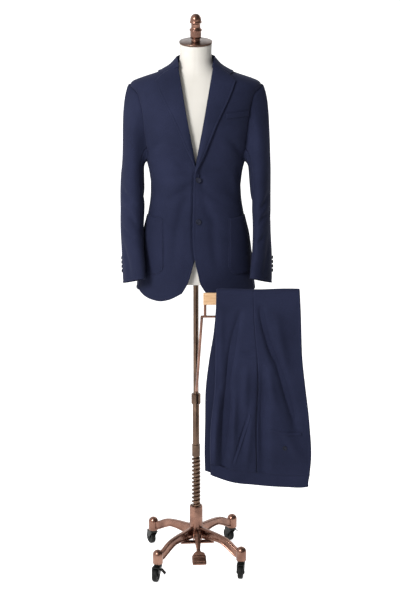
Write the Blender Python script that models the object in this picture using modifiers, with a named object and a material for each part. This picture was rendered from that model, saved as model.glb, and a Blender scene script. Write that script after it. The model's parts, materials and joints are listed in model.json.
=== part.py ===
"""Two-piece suit: the jacket on a limbless dress form, its trousers folded over the bar of the form's stand.

Metres, +Z up. The wearer faces -Y, so the wearer's left is +X. Everything is measured from the pole's axis on the
floor; an empty then carries the whole object so that its box is centred over the origin. Points of the jacket are
worked out for the wearer's left and mirrored for the right.
"""
import math

import bmesh
import bpy
import numpy as np
from mathutils import Matrix, Vector

# ---------------------------------------------------------------- driving sizes
POLE_X, POLE_Y = -0.0608, 0.0206     # the pole's axis, with the object's box centred on the origin
CLOTH = 0.0016                       # wall of the wool cloth
SEAM = 0.0003                        # smallest gap between two pieces
PANEL_GAP = 0.0012                   # gap along a seam on the outer face, closing to a seam inside the turn
ON_TOP = 0.0018                      # from a panel to the piece that lies on it
LEFT, RIGHT = 1, -1                  # the wearer's sides

# Jacket body, one row for each level: half widths and depths of a rounded section, and how square it is.
BODY_COLUMNS = ("z", "half_width", "front", "back", "power")
BODY = (
    (0.895, 0.1890, 0.1180, 0.1160, 2.30),
    (0.960, 0.1820, 0.1155, 0.1130, 2.30),
    (1.030, 0.1730, 0.1110, 0.1080, 2.30),
    (1.100, 0.1630, 0.1060, 0.1010, 2.30),
    (1.160, 0.1485, 0.1030, 0.0940, 2.28),
    (1.230, 0.1395, 0.1015, 0.0890, 2.25),
    (1.290, 0.1425, 0.1060, 0.0920, 2.25),
    (1.345, 0.1560, 0.1130, 0.1000, 2.28),
    (1.400, 0.1680, 0.1180, 0.1080, 2.30),
    (1.450, 0.1760, 0.1170, 0.1110, 2.35),
    (1.500, 0.1840, 0.1090, 0.1100, 2.38),
    (1.535, 0.1905, 0.0970, 0.1030, 2.35),
    (1.553, 0.1985, 0.0890, 0.0970, 2.25),
    (1.565, 0.1890, 0.0830, 0.0920, 2.20),
    (1.577, 0.1600, 0.0770, 0.0860, 2.20),
    (1.590, 0.1240, 0.0700, 0.0790, 2.20),
    (1.605, 0.0930, 0.0630, 0.0700, 2.20),
    (1.622, 0.0690, 0.0560, 0.0610, 2.20),
)
UNDERARM_Z, SHOULDER_TIP_Z, NECK_Z = 1.340, 1.556, 1.622
# Angle of the front and back edges of the armhole, from the centre front, at each level.
ARMHOLE = (
    (1.340, 70.0, 112.0),
    (1.400, 66.0, 115.0),
    (1.450, 64.0, 117.0),
    (1.500, 64.0, 115.0),
    (1.535, 70.0, 108.0),
    (1.556, 89.0, 90.5),
)
SHOULDER_SEAM_ANGLE = 90.0
FRONT_SIDE_SEAM_ANGLE, BACK_SIDE_SEAM_ANGLE = 70.0, 112.0
# Front edges, own side positive: the left front laps over the right one, and both quarters curve away below.
LEFT_EDGE = (
    (0.900, 0.0640),
    (0.930, 0.0330),
    (0.955, 0.0160),
    (0.990, 0.0065),
    (1.025, -0.0015),
    (1.060, -0.0060),
    (1.200, -0.0070),
    (1.301, -0.0020),
    (1.327, 0.0020),
    (1.450, 0.0242),
    (1.560, 0.0440),
    (1.622, 0.0550),
)
RIGHT_EDGE = (
    (0.900, 0.0640),
    (0.930, 0.0420),
    (0.955, 0.0270),
    (0.990, 0.0145),
    (1.025, 0.0055),
    (1.065, -0.0070),
    (1.120, -0.0150),
    (1.250, -0.0150),
    (1.301, -0.0080),
    (1.327, 0.0020),
    (1.450, 0.0242),
    (1.560, 0.0440),
    (1.622, 0.0550),
)
UNDERLAP_INSET = 0.0036              # how far the right front lies behind the left one at the closing
HEM_RISE = ((0.0, 0.0290), (0.10, 0.0130), (0.24, 0.0040), (0.50, 0.0050), (0.75, 0.0130), (1.0, 0.0260))
HEM_Z, HEM_SIDE_RISE, HEM_FADE_Z = 0.9000, 0.0260, 1.0400
FRONT_LEVELS = (0.900, 0.950, 1.010, 1.075, 1.140, 1.210, 1.280, 1.340, 1.400, 1.450, 1.500, 1.535, 1.556, 1.567,
                1.582, 1.602, 1.622)
FRONT_COLUMNS, BACK_COLUMNS, SIDE_COLUMNS = 8, 7, 4

# Lapels and collar, own side positive.
LEFT_BREAK_Z, RIGHT_BREAK_Z, GORGE_Z = 1.303, 1.322, 1.6085
LAPEL_EDGE = ((0.00, 0.0010), (0.15, 0.0210), (0.36, 0.0440), (0.55, 0.0650), (0.74, 0.0895), (0.90, 0.1090),
              (1.00, 0.1190))
LAPEL_CORNER_Z = 1.5680
LAPEL_ROWS, LAPEL_COLUMNS = 9, 4
LEFT_LAPEL_ROLL, RIGHT_LAPEL_ROLL = 0.0075, 0.0035
COLLAR_COLUMNS = ("t", "roll_x", "roll_y", "roll_z", "fall_x", "fall_y", "fall_z")
COLLAR = (
    (0.00, 0.0530, -0.0510, 1.6085, 0.0962, -0.0560, 1.5878),
    (0.12, 0.0552, -0.0385, 1.6232, 0.1090, -0.0390, 1.5950),
    (0.30, 0.0595, -0.0060, 1.6320, 0.1130, 0.0010, 1.5995),
    (0.50, 0.0570, 0.0240, 1.6345, 0.1010, 0.0480, 1.5955),
    (0.75, 0.0340, 0.0490, 1.6400, 0.0620, 0.0790, 1.5870),
    (1.00, 0.0000, 0.0570, 1.6415, 0.0000, 0.0890, 1.5795),
)
COLLAR_STAND_DROP, COLLAR_ROLL_GAP, COLLAR_HALF_STEPS = 0.0110, 0.0042, 9

# Sleeves below the cap: centre, half lengths of the flattened section and how far it is turned, at each level.
SLEEVE_COLUMNS = ("z", "centre_x", "centre_y", "long_half", "short_half", "turn_deg")
LEFT_SLEEVE = (
    (1.300, 0.1955, -0.0020, 0.0660, 0.0340, 4.0),
    (1.240, 0.1985, -0.0050, 0.0640, 0.0325, 6.0),
    (1.180, 0.2020, -0.0110, 0.0620, 0.0290, 8.0),
    (1.110, 0.2030, -0.0300, 0.0590, 0.0260, 14.0),
    (1.040, 0.2035, -0.0530, 0.0560, 0.0250, 24.0),
    (0.990, 0.2010, -0.0690, 0.0540, 0.0250, 30.0),
    (0.955, 0.1990, -0.0780, 0.0530, 0.0250, 32.0),
)
RIGHT_SLEEVE = (
    (1.300, 0.1930, -0.0020, 0.0660, 0.0350, 4.0),
    (1.240, 0.1945, -0.0050, 0.0640, 0.0370, 6.0),
    (1.180, 0.1955, -0.0110, 0.0620, 0.0370, 8.0),
    (1.110, 0.1965, -0.0330, 0.0590, 0.0340, 14.0),
    (1.040, 0.1935, -0.0600, 0.0560, 0.0290, 24.0),
    (0.990, 0.1900, -0.0760, 0.0540, 0.0270, 30.0),
    (0.955, 0.1885, -0.0830, 0.0530, 0.0270, 32.0),
)
SLEEVE_LOW_LEVELS = (1.300, 1.250, 1.200, 1.150, 1.100, 1.050, 1.000, 0.955)
SLEEVE_CAP_STEPS = 6
ELBOW_SEAM_DEG, FOREARM_SEAM_DEG = -128.0, 128.0
UPPER_SLEEVE_COLUMNS, UNDER_SLEEVE_COLUMNS = 14, 6
SLEEVE_SEAM_REACH = 0.045            # how far the sleeve's outline runs for each radian at its seams
CUFF_SLOPE = 0.010                   # how much longer the sleeve is on its outer side
CUFF_LIFT, CUFF_TILT, CUFF_FADE_Z = 0.0130, 0.36, 1.100  # the cuff is cut square to the leaning forearm
CUFF_BUTTONS, CUFF_BUTTON_RADIUS, CUFF_BUTTON_PITCH = 4, 0.0055, 0.0120
CUFF_BUTTON_THICK, CUFF_BUTTON_ANGLE, CUFF_BUTTON_Z = 0.0026, -58.0, 0.9920

# Pockets and buttons of the jacket.
PATCH_BOTTOM_Z, PATCH_FRONT_X, PATCH_SIDE_ANGLE = 0.9850, 0.1000, 88.0
PATCH_CORNER, PATCH_CORNER_DEG = 0.030, 12.0
PATCH_HEIGHTS = (0.173, 0.135, 0.090, 0.055, 0.030, 0.016, 0.008, 0.003, 0.0005)
WELT_X, WELT_Z, WELT_RISE, WELT_HEIGHT = (0.090, 0.158), 1.459, 0.006, 0.017
BUTTON_RADIUS, BUTTON_THICK = 0.0085, 0.0034
BUTTON_X, CLOSING_BUTTON_Z, LOWER_BUTTON_Z = 0.0085, 1.2780, 1.1500

# Dress form: a smooth limbless torso, its neck leaning forward a little under a tilted cap.
FORM = (
    (0.952, 0.1440, 0.0900, 0.0880, 2.25),
    (1.040, 0.1420, 0.0930, 0.0910, 2.25),
    (1.120, 0.1360, 0.0900, 0.0840, 2.25),
    (1.200, 0.1270, 0.0880, 0.0760, 2.20),
    (1.260, 0.1270, 0.0900, 0.0760, 2.20),
    (1.330, 0.1380, 0.0970, 0.0850, 2.20),
    (1.400, 0.1480, 0.1020, 0.0930, 2.20),
    (1.460, 0.1540, 0.1000, 0.0950, 2.20),
    (1.510, 0.1600, 0.0900, 0.0920, 2.20),
    (1.540, 0.1560, 0.0780, 0.0830, 2.15),
    (1.560, 0.1300, 0.0690, 0.0730, 2.10),
    (1.576, 0.0980, 0.0610, 0.0640, 2.05),
    (1.592, 0.0720, 0.0540, 0.0560, 2.00),
    (1.612, 0.0540, 0.0490, 0.0480, 2.00),
    (1.640, 0.0480, 0.0470, 0.0450, 2.00),
    (1.676, 0.0485, 0.0485, 0.0485, 2.00),
)
FORM_SEGMENTS = 24
CAP_TILT_DEG, CAP_Z, CAP_RADIUS, CAP_THICK = 12.0, 1.6765, 0.0500, 0.0060
NECK_LEAN_FROM_Z = 1.600

# Pole, brace and bar.
UPPER_POLE_RADIUS, LOWER_POLE_RADIUS, COLLAR_RING_RADIUS = 0.0086, 0.0110, 0.0132
CLAMP_Z, CLAMP_HEIGHT, CLAMP_RADIUS = 0.575, 0.034, 0.0150
THREAD_TOP_Z, THREAD_COLLAR_TOP_Z, COLUMN_FOOT_Z = 0.3625, 0.4036, 0.1230
THREAD_ROOT, THREAD_CREST, THREAD_TURNS = 0.0105, 0.0146, 18
BAR_Y, BAR_LEFT_X, BAR_RIGHT_X, BAR_TOP_Z, BAR_BOTTOM_Z, BAR_HALF_THICK = -0.190, 0.0225, 0.302, 0.9500, 0.9140, 0.0050
FOLD_CENTRE_DROP = 0.0025            # from the bar's top down to the middle of the fold
POST_X, POST_RADIUS, ELBOW_Z, REST_ROD_RADIUS = 0.0185, 0.0044, 0.8770, 0.0036
BRACE_STOP = 0.0382                  # the brace ends this far short of the pole's axis, against its clamp

# Trousers on the bar: distances from the bar's middle plane, outlines in front, and the ends of the legs behind.
TROUSER_COLUMNS = ("z", "left_x", "right_x", "outer_left_x", "seam_x", "fullness")
TROUSERS = (
    (0.340, 0.0300, 0.3460, 0.0450, 0.1860, 0.0130),
    (0.440, 0.0265, 0.3550, 0.0455, 0.1865, 0.0130),
    (0.545, 0.0280, 0.3470, 0.0480, 0.1860, 0.0110),
    (0.655, 0.0300, 0.3330, 0.0570, 0.1900, 0.0080),
    (0.750, 0.0410, 0.3225, 0.0600, 0.1850, 0.0050),
    (0.825, 0.0530, 0.3180, 0.0605, 0.1780, 0.0020),
    (0.890, 0.0590, 0.3145, 0.0605, 0.1740, 0.0000),
    (0.960, 0.0620, 0.3105, 0.0620, 0.1720, 0.0000),
)
WAIST_END = ((0.03, 0.3870), (0.11, 0.3580), (0.18, 0.3490), (0.28, 0.3415), (0.325, 0.3400), (0.350, 0.3430))
WAISTBAND_HEIGHT, WAISTBAND_GAP = 0.040, 0.0030
INNER_LEG_NEAR, INNER_LEG_FAR, OUTER_LEG_NEAR, OUTER_LEG_FAR = 0.0058, 0.0088, 0.0098, 0.0150
LEG_HEM_Z, HEM_HALF_WIDTH, HEM_CENTRE_X = 0.4750, 0.1020, 0.1860
TROUSER_FRONT_ROWS, TROUSER_BEND_ROWS, TROUSER_BACK_ROWS = 9, 5, 5
BACK_POCKET = ((0.221, 0.529), (0.322, 0.514))
SLASH_POCKET = ((0.1640, 0.5780), (0.1180, 0.4200))
WELT_WIDTH = 0.009
POCKET_BUTTON = (0.2720, 0.4700)

# Base with its casters.
HUB_RADIUS, HUB_BORE, HUB_TOP_Z, HUB_FOOT_Z = 0.0215, 0.0156, 0.1930, 0.0830
BASE_TURN_DEG, ARM_REACH = 5.0, 0.1890
ARM_COLUMNS = ("reach", "top_z", "bottom_z")
ARM_LINE = (
    (0.0222, 0.1215, 0.0845),
    (0.0550, 0.1190, 0.0870),
    (0.0900, 0.1165, 0.0902),
    (0.1080, 0.1140, 0.0892),
    (0.1280, 0.1098, 0.0810),
    (0.1450, 0.1032, 0.0720),
    (0.1600, 0.0945, 0.0640),
    (0.1780, 0.0850, 0.0580),
)
ARM_HALF_WIDTH, ARM_CHANNEL, ARM_FLANGE, ARM_STEPS = 0.0075, 0.0022, 0.0050, 9
SOCKET_RADIUS, SOCKET_FOOT_Z, SOCKET_SHOULDER_Z = 0.0165, 0.0550, 0.0840
ARM_ANGLES = (("front_left", -40.0), ("front_right", -130.0), ("rear_left", 50.0), ("rear_right", 140.0))
WHEEL_RADIUS, WHEEL_HALF_WIDTH, CASTER_TRAIL = 0.0220, 0.0080, 0.0180
FORK_PLATE_Z, FORK_PLATE_THICK, CHEEK_THICK = 0.0460, 0.0028, 0.0028
CASTER_HEADINGS = {"front_left": -98.0, "front_right": -108.0, "rear_left": 125.0, "rear_right": 118.0}
BRAKED = {"front_right": 1, "rear_left": -1}     # with the side of the fork that carries the lever
EAR_OUTER_X, EAR_INNER_X, EAR_BACK_Y, EAR_FRONT_Y = 0.0140, 0.0115, -0.0224, -0.0620
EAR_LOW_Z, EAR_HIGH_Z = 0.0930, 0.1140
LEVER_X, LEVER_Z, LEVER_CLEARANCE, LEVER_HALF_WIDTH = 0.0120, 0.0400, 0.0030, 0.0070
LEVER_COLUMNS = ("out", "z", "half_height")
LEVER = ((-0.0018, 0.0000, 0.0018), (0.0030, 0.0004, 0.0018), (0.0080, -0.0050, 0.0014), (0.0145, -0.0110, 0.0013))
PLATE_LOW, PLATE_HIGH = (-0.0540, -0.0525, 0.0800), (0.0540, -0.0320, 0.0850)
PEDAL_PIVOT = (0.0049, -0.0560, 0.1020)
PEDAL_COLUMNS = ("half_width", "half_height", "y", "z")
PEDAL = (
    (0.0050, 0.0050, 0.0260, 0.0070),
    (0.0060, 0.0060, 0.0140, 0.0060),
    (0.0095, 0.0110, 0.0040, 0.0020),
    (0.0105, 0.0120, -0.0060, -0.0060),
    (0.0085, 0.0080, -0.0180, -0.0160),
    (0.0064, 0.0036, -0.0300, -0.0260),
    (0.0070, 0.0030, -0.0380, -0.0310),
    (0.0170, 0.0028, -0.0450, -0.0350),
    (0.0225, 0.0028, -0.0520, -0.0400),
    (0.0230, 0.0028, -0.0700, -0.0530),
    (0.0220, 0.0022, -0.0780, -0.0575),
)

# ---------------------------------------------------------------- scene and materials
for old in list(bpy.data.objects):
    bpy.data.objects.remove(old, do_unlink=True)


def collection(name):
    made = bpy.data.collections.new(name)
    bpy.context.scene.collection.children.link(made)
    return made


SUIT = collection("two_piece_suit_on_form")
CUTTERS = collection("cutters")
ORIGIN = bpy.data.objects.new("pole_axis", None)
ORIGIN.location = (POLE_X, POLE_Y, 0.0)
SUIT.objects.link(ORIGIN)


def material(name, colour, roughness, metallic=0.0):
    made = bpy.data.materials.new(name)
    made.use_nodes = True
    shader = made.node_tree.nodes["Principled BSDF"]
    shader.inputs["Base Color"].default_value = (*colour, 1.0)
    shader.inputs["Roughness"].default_value = roughness
    shader.inputs["Metallic"].default_value = metallic
    return made


WOOL = material("navy_wool", (0.022, 0.026, 0.062), 0.85)
HORN = material("dark_horn", (0.010, 0.012, 0.020), 0.35)
LINEN = material("cream_cover", (0.78, 0.75, 0.69), 0.80)
COPPER = material("antique_copper", (0.36, 0.20, 0.15), 0.28, 1.0)
OAK = material("pale_wood", (0.62, 0.40, 0.22), 0.55)
RUBBER = material("black_rubber", (0.015, 0.016, 0.015), 0.60)
NYLON = material("black_nylon", (0.020, 0.021, 0.020), 0.40)


# ---------------------------------------------------------------- numbers
def along(table, key):
    """The row of a table at a value of its first column, on a smooth curve through the rows."""
    rows = np.array(table, float)
    keys = rows[:, 0]
    order = np.argsort(keys)
    rows, keys = rows[order], keys[order]
    key = float(min(max(key, keys[0]), keys[-1]))
    i = int(min(max(np.searchsorted(keys, key) - 1, 0), len(keys) - 2))
    slopes = np.gradient(rows, keys, axis=0)
    step = keys[i + 1] - keys[i]
    t = (key - keys[i]) / step
    return (
        rows[i] * (1 + 2 * t) * (1 - t) ** 2
        + rows[i + 1] * t * t * (3 - 2 * t)
        + slopes[i] * step * t * (1 - t) ** 2
        - slopes[i + 1] * step * t * t * (1 - t)
    )[1:]


def ease(value, low, high):
    t = min(max((value - low) / (high - low), 0.0), 1.0)
    return t * t * (3 - 2 * t)


def signed_power(value, power):
    return math.copysign(abs(value) ** power, value)


def section_point(table, z, degrees):
    """A point of a rounded section at a level; 0 degrees is the centre front, 90 the wearer's left."""
    half_width, front, back, power = along(table, z)
    sine, cosine = math.sin(math.radians(degrees)), math.cos(math.radians(degrees))
    depth = front if cosine > 0 else back
    return Vector((half_width * signed_power(sine, 2 / power), -depth * signed_power(cosine, 2 / power), z))


def angle_at(x, z):
    """The angle of the front of the jacket where it is x from the middle."""
    half_width, _, _, power = along(BODY, z)
    ratio = min(abs(x) / half_width, 1.0)
    return math.copysign(math.degrees(math.asin(ratio ** (power / 2))), x)


def body_point(z, degrees, lift=0.0):
    """A point of the jacket's outer surface, moved out along the surface's normal."""
    point = section_point(BODY, z, degrees)
    if not lift:
        return point
    across = section_point(BODY, z, degrees + 1.0) - section_point(BODY, z, degrees - 1.0)
    upward = section_point(BODY, min(z + 0.004, NECK_Z), degrees) - section_point(BODY, z - 0.004, degrees)
    return point + lift * across.cross(upward).normalized()


def on_front(x, z, lift=0.0):
    return body_point(z, angle_at(x, z), lift)


def mirrored(point, side):
    return Vector((point[0] * side, point[1], point[2]))


# ---------------------------------------------------------------- shapes
def add(name, mesh, look, location=(0.0, 0.0, 0.0), turn=0.0, sharp=40.0):
    mesh.shade_smooth()
    mesh.set_sharp_from_angle(angle=math.radians(sharp))
    made = bpy.data.objects.new(name, mesh)
    mesh.materials.append(look)
    made.parent = ORIGIN
    made.location = location
    made.rotation_euler = (0.0, 0.0, turn)
    SUIT.objects.link(made)
    return made


def finished(bm, name):
    bmesh.ops.recalc_face_normals(bm, faces=bm.faces)
    mesh = bpy.data.meshes.new(name)
    bm.to_mesh(mesh)
    bm.free()
    return mesh


def grid_faces(bm, rows, closed=False):
    corners = [[bm.verts.new(point) for point in row] for row in rows]
    for lower, upper in zip(corners, corners[1:]):
        count = len(lower)
        for i in range(count if closed else count - 1):
            j = (i + 1) % count
            bm.faces.new((lower[i], lower[j], upper[j], upper[i]))
    return corners


def wall(name, rows, look=WOOL, thickness=CLOTH, closed=False, outward=None):
    """Cloth: an open surface through rows of points, given thickness on the side away from its outer face."""
    bm = bmesh.new()
    grid_faces(bm, rows, closed)
    bm.normal_update()
    middle = bm.faces[len(bm.faces) // 2] if bm.faces.ensure_lookup_table() is None else None
    if outward is not None and middle.normal.dot(Vector(outward(middle.calc_center_median()))) < 0:
        bmesh.ops.reverse_faces(bm, faces=bm.faces)
    mesh = bpy.data.meshes.new(name)
    bm.to_mesh(mesh)
    bm.free()
    made = add(name, mesh, look)
    shell = made.modifiers.new("cloth", "SOLIDIFY")
    shell.thickness = thickness
    shell.offset = -1.0
    return made


def loft(name, rings, look, **placing):
    """A closed solid through rings of points, with flat ends."""
    bm = bmesh.new()
    corners = grid_faces(bm, rings, closed=True)
    bm.faces.new(list(reversed(corners[0])))
    bm.faces.new(corners[-1])
    return add(name, finished(bm, name), look, **placing)


def turned(name, profile, look, segments=28, **placing):
    """A turned solid: the profile runs down from the axis to the axis, or round a bore."""
    bm = bmesh.new()
    line = [bm.verts.new((radius, 0.0, z)) for radius, z in profile]
    for a, b in zip(line, line[1:]):
        bm.edges.new((a, b))
    if profile[0][0] > 0:
        bm.edges.new((line[-1], line[0]))
    mesh = bpy.data.meshes.new(name)
    bm.to_mesh(mesh)
    bm.free()
    made = add(name, mesh, look, **placing)
    screw = made.modifiers.new("turned", "SCREW")
    screw.steps = screw.render_steps = segments
    screw.use_merge_vertices = True
    screw.merge_threshold = 0.00001
    screw.use_smooth_shade = True
    return made


def box_into(bm, low, high):
    size = Vector(high) - Vector(low)
    centre = (Vector(high) + Vector(low)) / 2
    made = bmesh.ops.create_cube(bm, size=1.0)
    bmesh.ops.scale(bm, vec=size, verts=made["verts"])
    bmesh.ops.translate(bm, vec=centre, verts=made["verts"])
    return made["verts"]


def rod_into(bm, start, end, radius, segments=16):
    start, end = Vector(start), Vector(end)
    along_rod = end - start
    place = Matrix.Translation((start + end) / 2) @ along_rod.to_track_quat("Z", "Y").to_matrix().to_4x4()
    bmesh.ops.create_cone(bm, cap_ends=True, segments=segments, radius1=radius, radius2=radius,
                          depth=along_rod.length, matrix=place)


def joined(name, makers, look, **placing):
    """One solid from several overlapping shapes, each made by its own function on a bmesh."""
    first = None
    for index, make in enumerate(makers):
        bm = bmesh.new()
        make(bm)
        mesh = finished(bm, f"{name}_{index}")
        if first is None:
            first = add(name, mesh, look, **placing)
            continue
        tool = bpy.data.objects.new(f"{name}_tool_{index}", mesh)
        tool.parent = ORIGIN
        tool.location, tool.rotation_euler = first.location, first.rotation_euler
        tool.hide_render = True
        tool.display_type = "WIRE"
        CUTTERS.objects.link(tool)
        union = first.modifiers.new(f"join_{index}", "BOOLEAN")
        union.operation = "UNION"
        union.object = tool
    return first


# ---------------------------------------------------------------- jacket body
def hem_level(z, rise):
    """A level of the body, lifted towards the hem by the hem's own rise."""
    return z + rise * (1.0 - ease(z, HEM_Z, HEM_FADE_Z))


def armhole_angles(z):
    """Angles of the front and back edges of the side opening at a level; 90 degrees each on the shoulder."""
    if z >= SHOULDER_TIP_Z:
        return SHOULDER_SEAM_ANGLE, SHOULDER_SEAM_ANGLE
    if z <= UNDERARM_Z:
        return FRONT_SIDE_SEAM_ANGLE, BACK_SIDE_SEAM_ANGLE
    return tuple(along(ARMHOLE, z))


def seam_angle(z):
    """Half a seam's gap as an angle of the section."""
    return math.degrees(0.5 * PANEL_GAP / along(BODY, z)[0])


def front_panel(side):
    edge = LEFT_EDGE if side == LEFT else RIGHT_EDGE
    rows = []
    for level in FRONT_LEVELS:
        row = []
        for column in range(FRONT_COLUMNS + 1):
            u = column / FRONT_COLUMNS
            z = hem_level(level, along(HEM_RISE, u)[0])
            start = angle_at(along(edge, z)[0], z)
            end = armhole_angles(z)[0] - seam_angle(z)
            point = body_point(z, start + (end - start) * u)
            if side == RIGHT:
                lap = 1.0 - ease(point.x, 0.020, 0.070)
                point.y += UNDERLAP_INSET * lap * (1.0 - ease(z, 1.330, 1.380))
            row.append(mirrored(point, side))
        rows.append(row)
    return wall(f"jacket_front_{side_name(side)}", rows, outward=lambda p: (0.0, -1.0, 0.0))


def side_name(side):
    return "left" if side == LEFT else "right"


def side_panel(side):
    levels = [z for z in FRONT_LEVELS if z <= UNDERARM_Z]
    rows = []
    for level in levels:
        z = hem_level(level, HEM_SIDE_RISE)
        row = []
        for column in range(SIDE_COLUMNS + 1):
            u = column / SIDE_COLUMNS
            start = FRONT_SIDE_SEAM_ANGLE + seam_angle(z)
            end = BACK_SIDE_SEAM_ANGLE - seam_angle(z)
            scye = 0.012 * math.sin(math.pi * u) * ease(z, 1.25, UNDERARM_Z)
            row.append(mirrored(body_point(z - scye, start + (end - start) * u), side))
        rows.append(row)
    return wall(f"jacket_side_{side_name(side)}", rows, outward=lambda p: (side, 0.0, 0.0))


def back_panel(side):
    rows = []
    for level in FRONT_LEVELS:
        z = hem_level(level, HEM_SIDE_RISE)
        start = armhole_angles(z)[1] + seam_angle(z)
        end = 180.0 - seam_angle(z)
        row = [body_point(z, start + (end - start) * column / BACK_COLUMNS) for column in range(BACK_COLUMNS + 1)]
        rows.append([mirrored(point, side) for point in row])
    return wall(f"jacket_back_{side_name(side)}", rows, outward=lambda p: (0.0, 1.0, 0.0))


# ---------------------------------------------------------------- lapels and collar
def roll_x(z):
    return along(LEFT_EDGE, z)[0]


def lapel(side):
    roll = LEFT_LAPEL_ROLL if side == LEFT else RIGHT_LAPEL_ROLL
    break_z = LEFT_BREAK_Z if side == LEFT else RIGHT_BREAK_Z
    rows = []
    for step in range(LAPEL_ROWS + 1):
        v = step / LAPEL_ROWS
        inner_z = break_z + (GORGE_Z - break_z) * v
        outer_z = break_z - 0.002 + (LAPEL_CORNER_Z - break_z + 0.002) * v
        inner_x, outer_x = roll_x(inner_z) + 0.0006, along(LAPEL_EDGE, v)[0]
        outer_x = max(outer_x, inner_x + 0.003)
        row = []
        for column in range(LAPEL_COLUMNS + 1):
            u = column / LAPEL_COLUMNS
            standing = roll * math.sin(math.pi * min(1.0, 0.25 + 0.75 * u)) * (1.0 - 0.75 * ease(v, 0.15, 0.70))
            lift = ON_TOP + CLOTH + standing + 0.0008 * (side == RIGHT)
            x = inner_x + (outer_x - inner_x) * u
            row.append(mirrored(on_front(x, inner_z + (outer_z - inner_z) * u, lift), side))
        rows.append(row)
    return wall(f"jacket_lapel_{side_name(side)}", rows, outward=lambda p: (0.0, -1.0, 0.0))


def collar():
    """The stand rises from the neckline, rolls over and falls on the shoulders and back."""
    half = []
    for step in range(COLLAR_HALF_STEPS + 1):
        t = step / COLLAR_HALF_STEPS
        values = along(COLLAR, t)
        roll, fall = Vector(values[:3]), Vector(values[3:])
        outward = Vector((fall.x - roll.x, fall.y - roll.y, 0.0)).normalized()
        belly = outward * 0.004 + Vector((0.0, 0.0, 0.003))
        stand = roll - outward * COLLAR_ROLL_GAP - Vector((0.0, 0.0, COLLAR_STAND_DROP * ease(t, 0.0, 0.35)))
        inside = roll - outward * (0.6 * COLLAR_ROLL_GAP)
        half.append([stand, inside, roll + Vector((0.0, 0.0, 0.0012)), roll.lerp(fall, 0.33) + belly,
                     roll.lerp(fall, 0.68) + belly * 0.7, fall])
    right_half = [[mirrored(point, RIGHT) for point in row] for row in half]
    rows = half + list(reversed(right_half[:-1]))
    return wall("jacket_collar", rows, outward=lambda p: (0.0, 0.5, 1.0))


# ---------------------------------------------------------------- sleeves
def armhole_point(phi):
    """The seam of the sleeve, round the armhole: 0 degrees is its top, 90 its front, 180 the underarm."""
    height = SHOULDER_TIP_Z - UNDERARM_Z
    z = UNDERARM_Z + height * (0.5 + 0.5 * math.cos(math.radians(phi)))
    front, back = armhole_angles(min(z, SHOULDER_TIP_Z - 0.0002))
    if z - UNDERARM_Z < 0.02:
        middle = 0.5 * (FRONT_SIDE_SEAM_ANGLE + BACK_SIDE_SEAM_ANGLE)
        share = math.sin(math.radians(phi))
        angle = middle - share * (middle - front) / 0.60 if share > 0 else middle - share * (back - middle) / 0.60
        angle = min(max(angle, front), back)
    else:
        angle = front if math.sin(math.radians(phi)) >= 0 else back
    return body_point(z, angle, 0.0024)


def sleeve_ring_point(table, z, phi):
    centre_x, centre_y, long_half, short_half, turn = along(table, z)
    angle, turn = math.radians(phi), math.radians(turn)
    short, long = short_half * math.cos(angle), -long_half * math.sin(angle)
    x = centre_x + short * math.cos(turn) + long * math.sin(turn)
    y = centre_y - short * math.sin(turn) + long * math.cos(turn)
    outer = 0.5 + 0.5 * math.cos(angle)
    rise = CUFF_LIFT + CUFF_TILT * (centre_y - y) - CUFF_SLOPE * outer
    return Vector((x, y, z + rise * (1.0 - ease(z, table[-1][0], CUFF_FADE_Z))))


def sleeve_column(table, phi):
    """One line down the sleeve: over the cap from the armhole, then down to the cuff."""
    top, low = armhole_point(phi), sleeve_ring_point(table, SLEEVE_LOW_LEVELS[0], phi)
    drop = sleeve_ring_point(table, SLEEVE_LOW_LEVELS[1], phi) - low
    reach = (low - top).length
    crown = 0.5 + 0.5 * math.cos(math.radians(phi))
    leave = Vector((1.0, 0.0, 0.12 * crown)).normalized() * (0.030 + 0.22 * reach)
    arrive = drop.normalized() * 0.85 * reach
    line = []
    for step in range(SLEEVE_CAP_STEPS):
        t = (step / SLEEVE_CAP_STEPS) ** 1.35
        line.append(
            top * ((1 + 2 * t) * (1 - t) ** 2)
            + low * (t * t * (3 - 2 * t))
            + leave * (t * (1 - t) ** 2)
            - arrive * (t * t * (1 - t))
        )
    return line + [sleeve_ring_point(table, z, phi) for z in SLEEVE_LOW_LEVELS]


def sleeve_piece(name, side, start, end, columns):
    table = LEFT_SLEEVE if side == LEFT else RIGHT_SLEEVE
    gap = math.degrees(0.5 * PANEL_GAP / SLEEVE_SEAM_REACH)
    start, end = start + gap, end - gap
    lines = [sleeve_column(table, start + (end - start) * k / columns) for k in range(columns + 1)]
    rows = [[mirrored(line[r], side) for line in lines] for r in range(len(lines[0]))]
    centre = Vector((side * along(table, 1.2)[0], along(table, 1.2)[1], 0.0))
    return wall(name, rows, outward=lambda p: (p.x - centre.x, p.y - centre.y, 0.0))


def sleeves(side):
    sleeve_piece(f"upper_sleeve_{side_name(side)}", side, ELBOW_SEAM_DEG, FOREARM_SEAM_DEG, UPPER_SLEEVE_COLUMNS)
    sleeve_piece(f"under_sleeve_{side_name(side)}", side, FOREARM_SEAM_DEG, 360.0 + ELBOW_SEAM_DEG,
                 UNDER_SLEEVE_COLUMNS)


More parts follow.
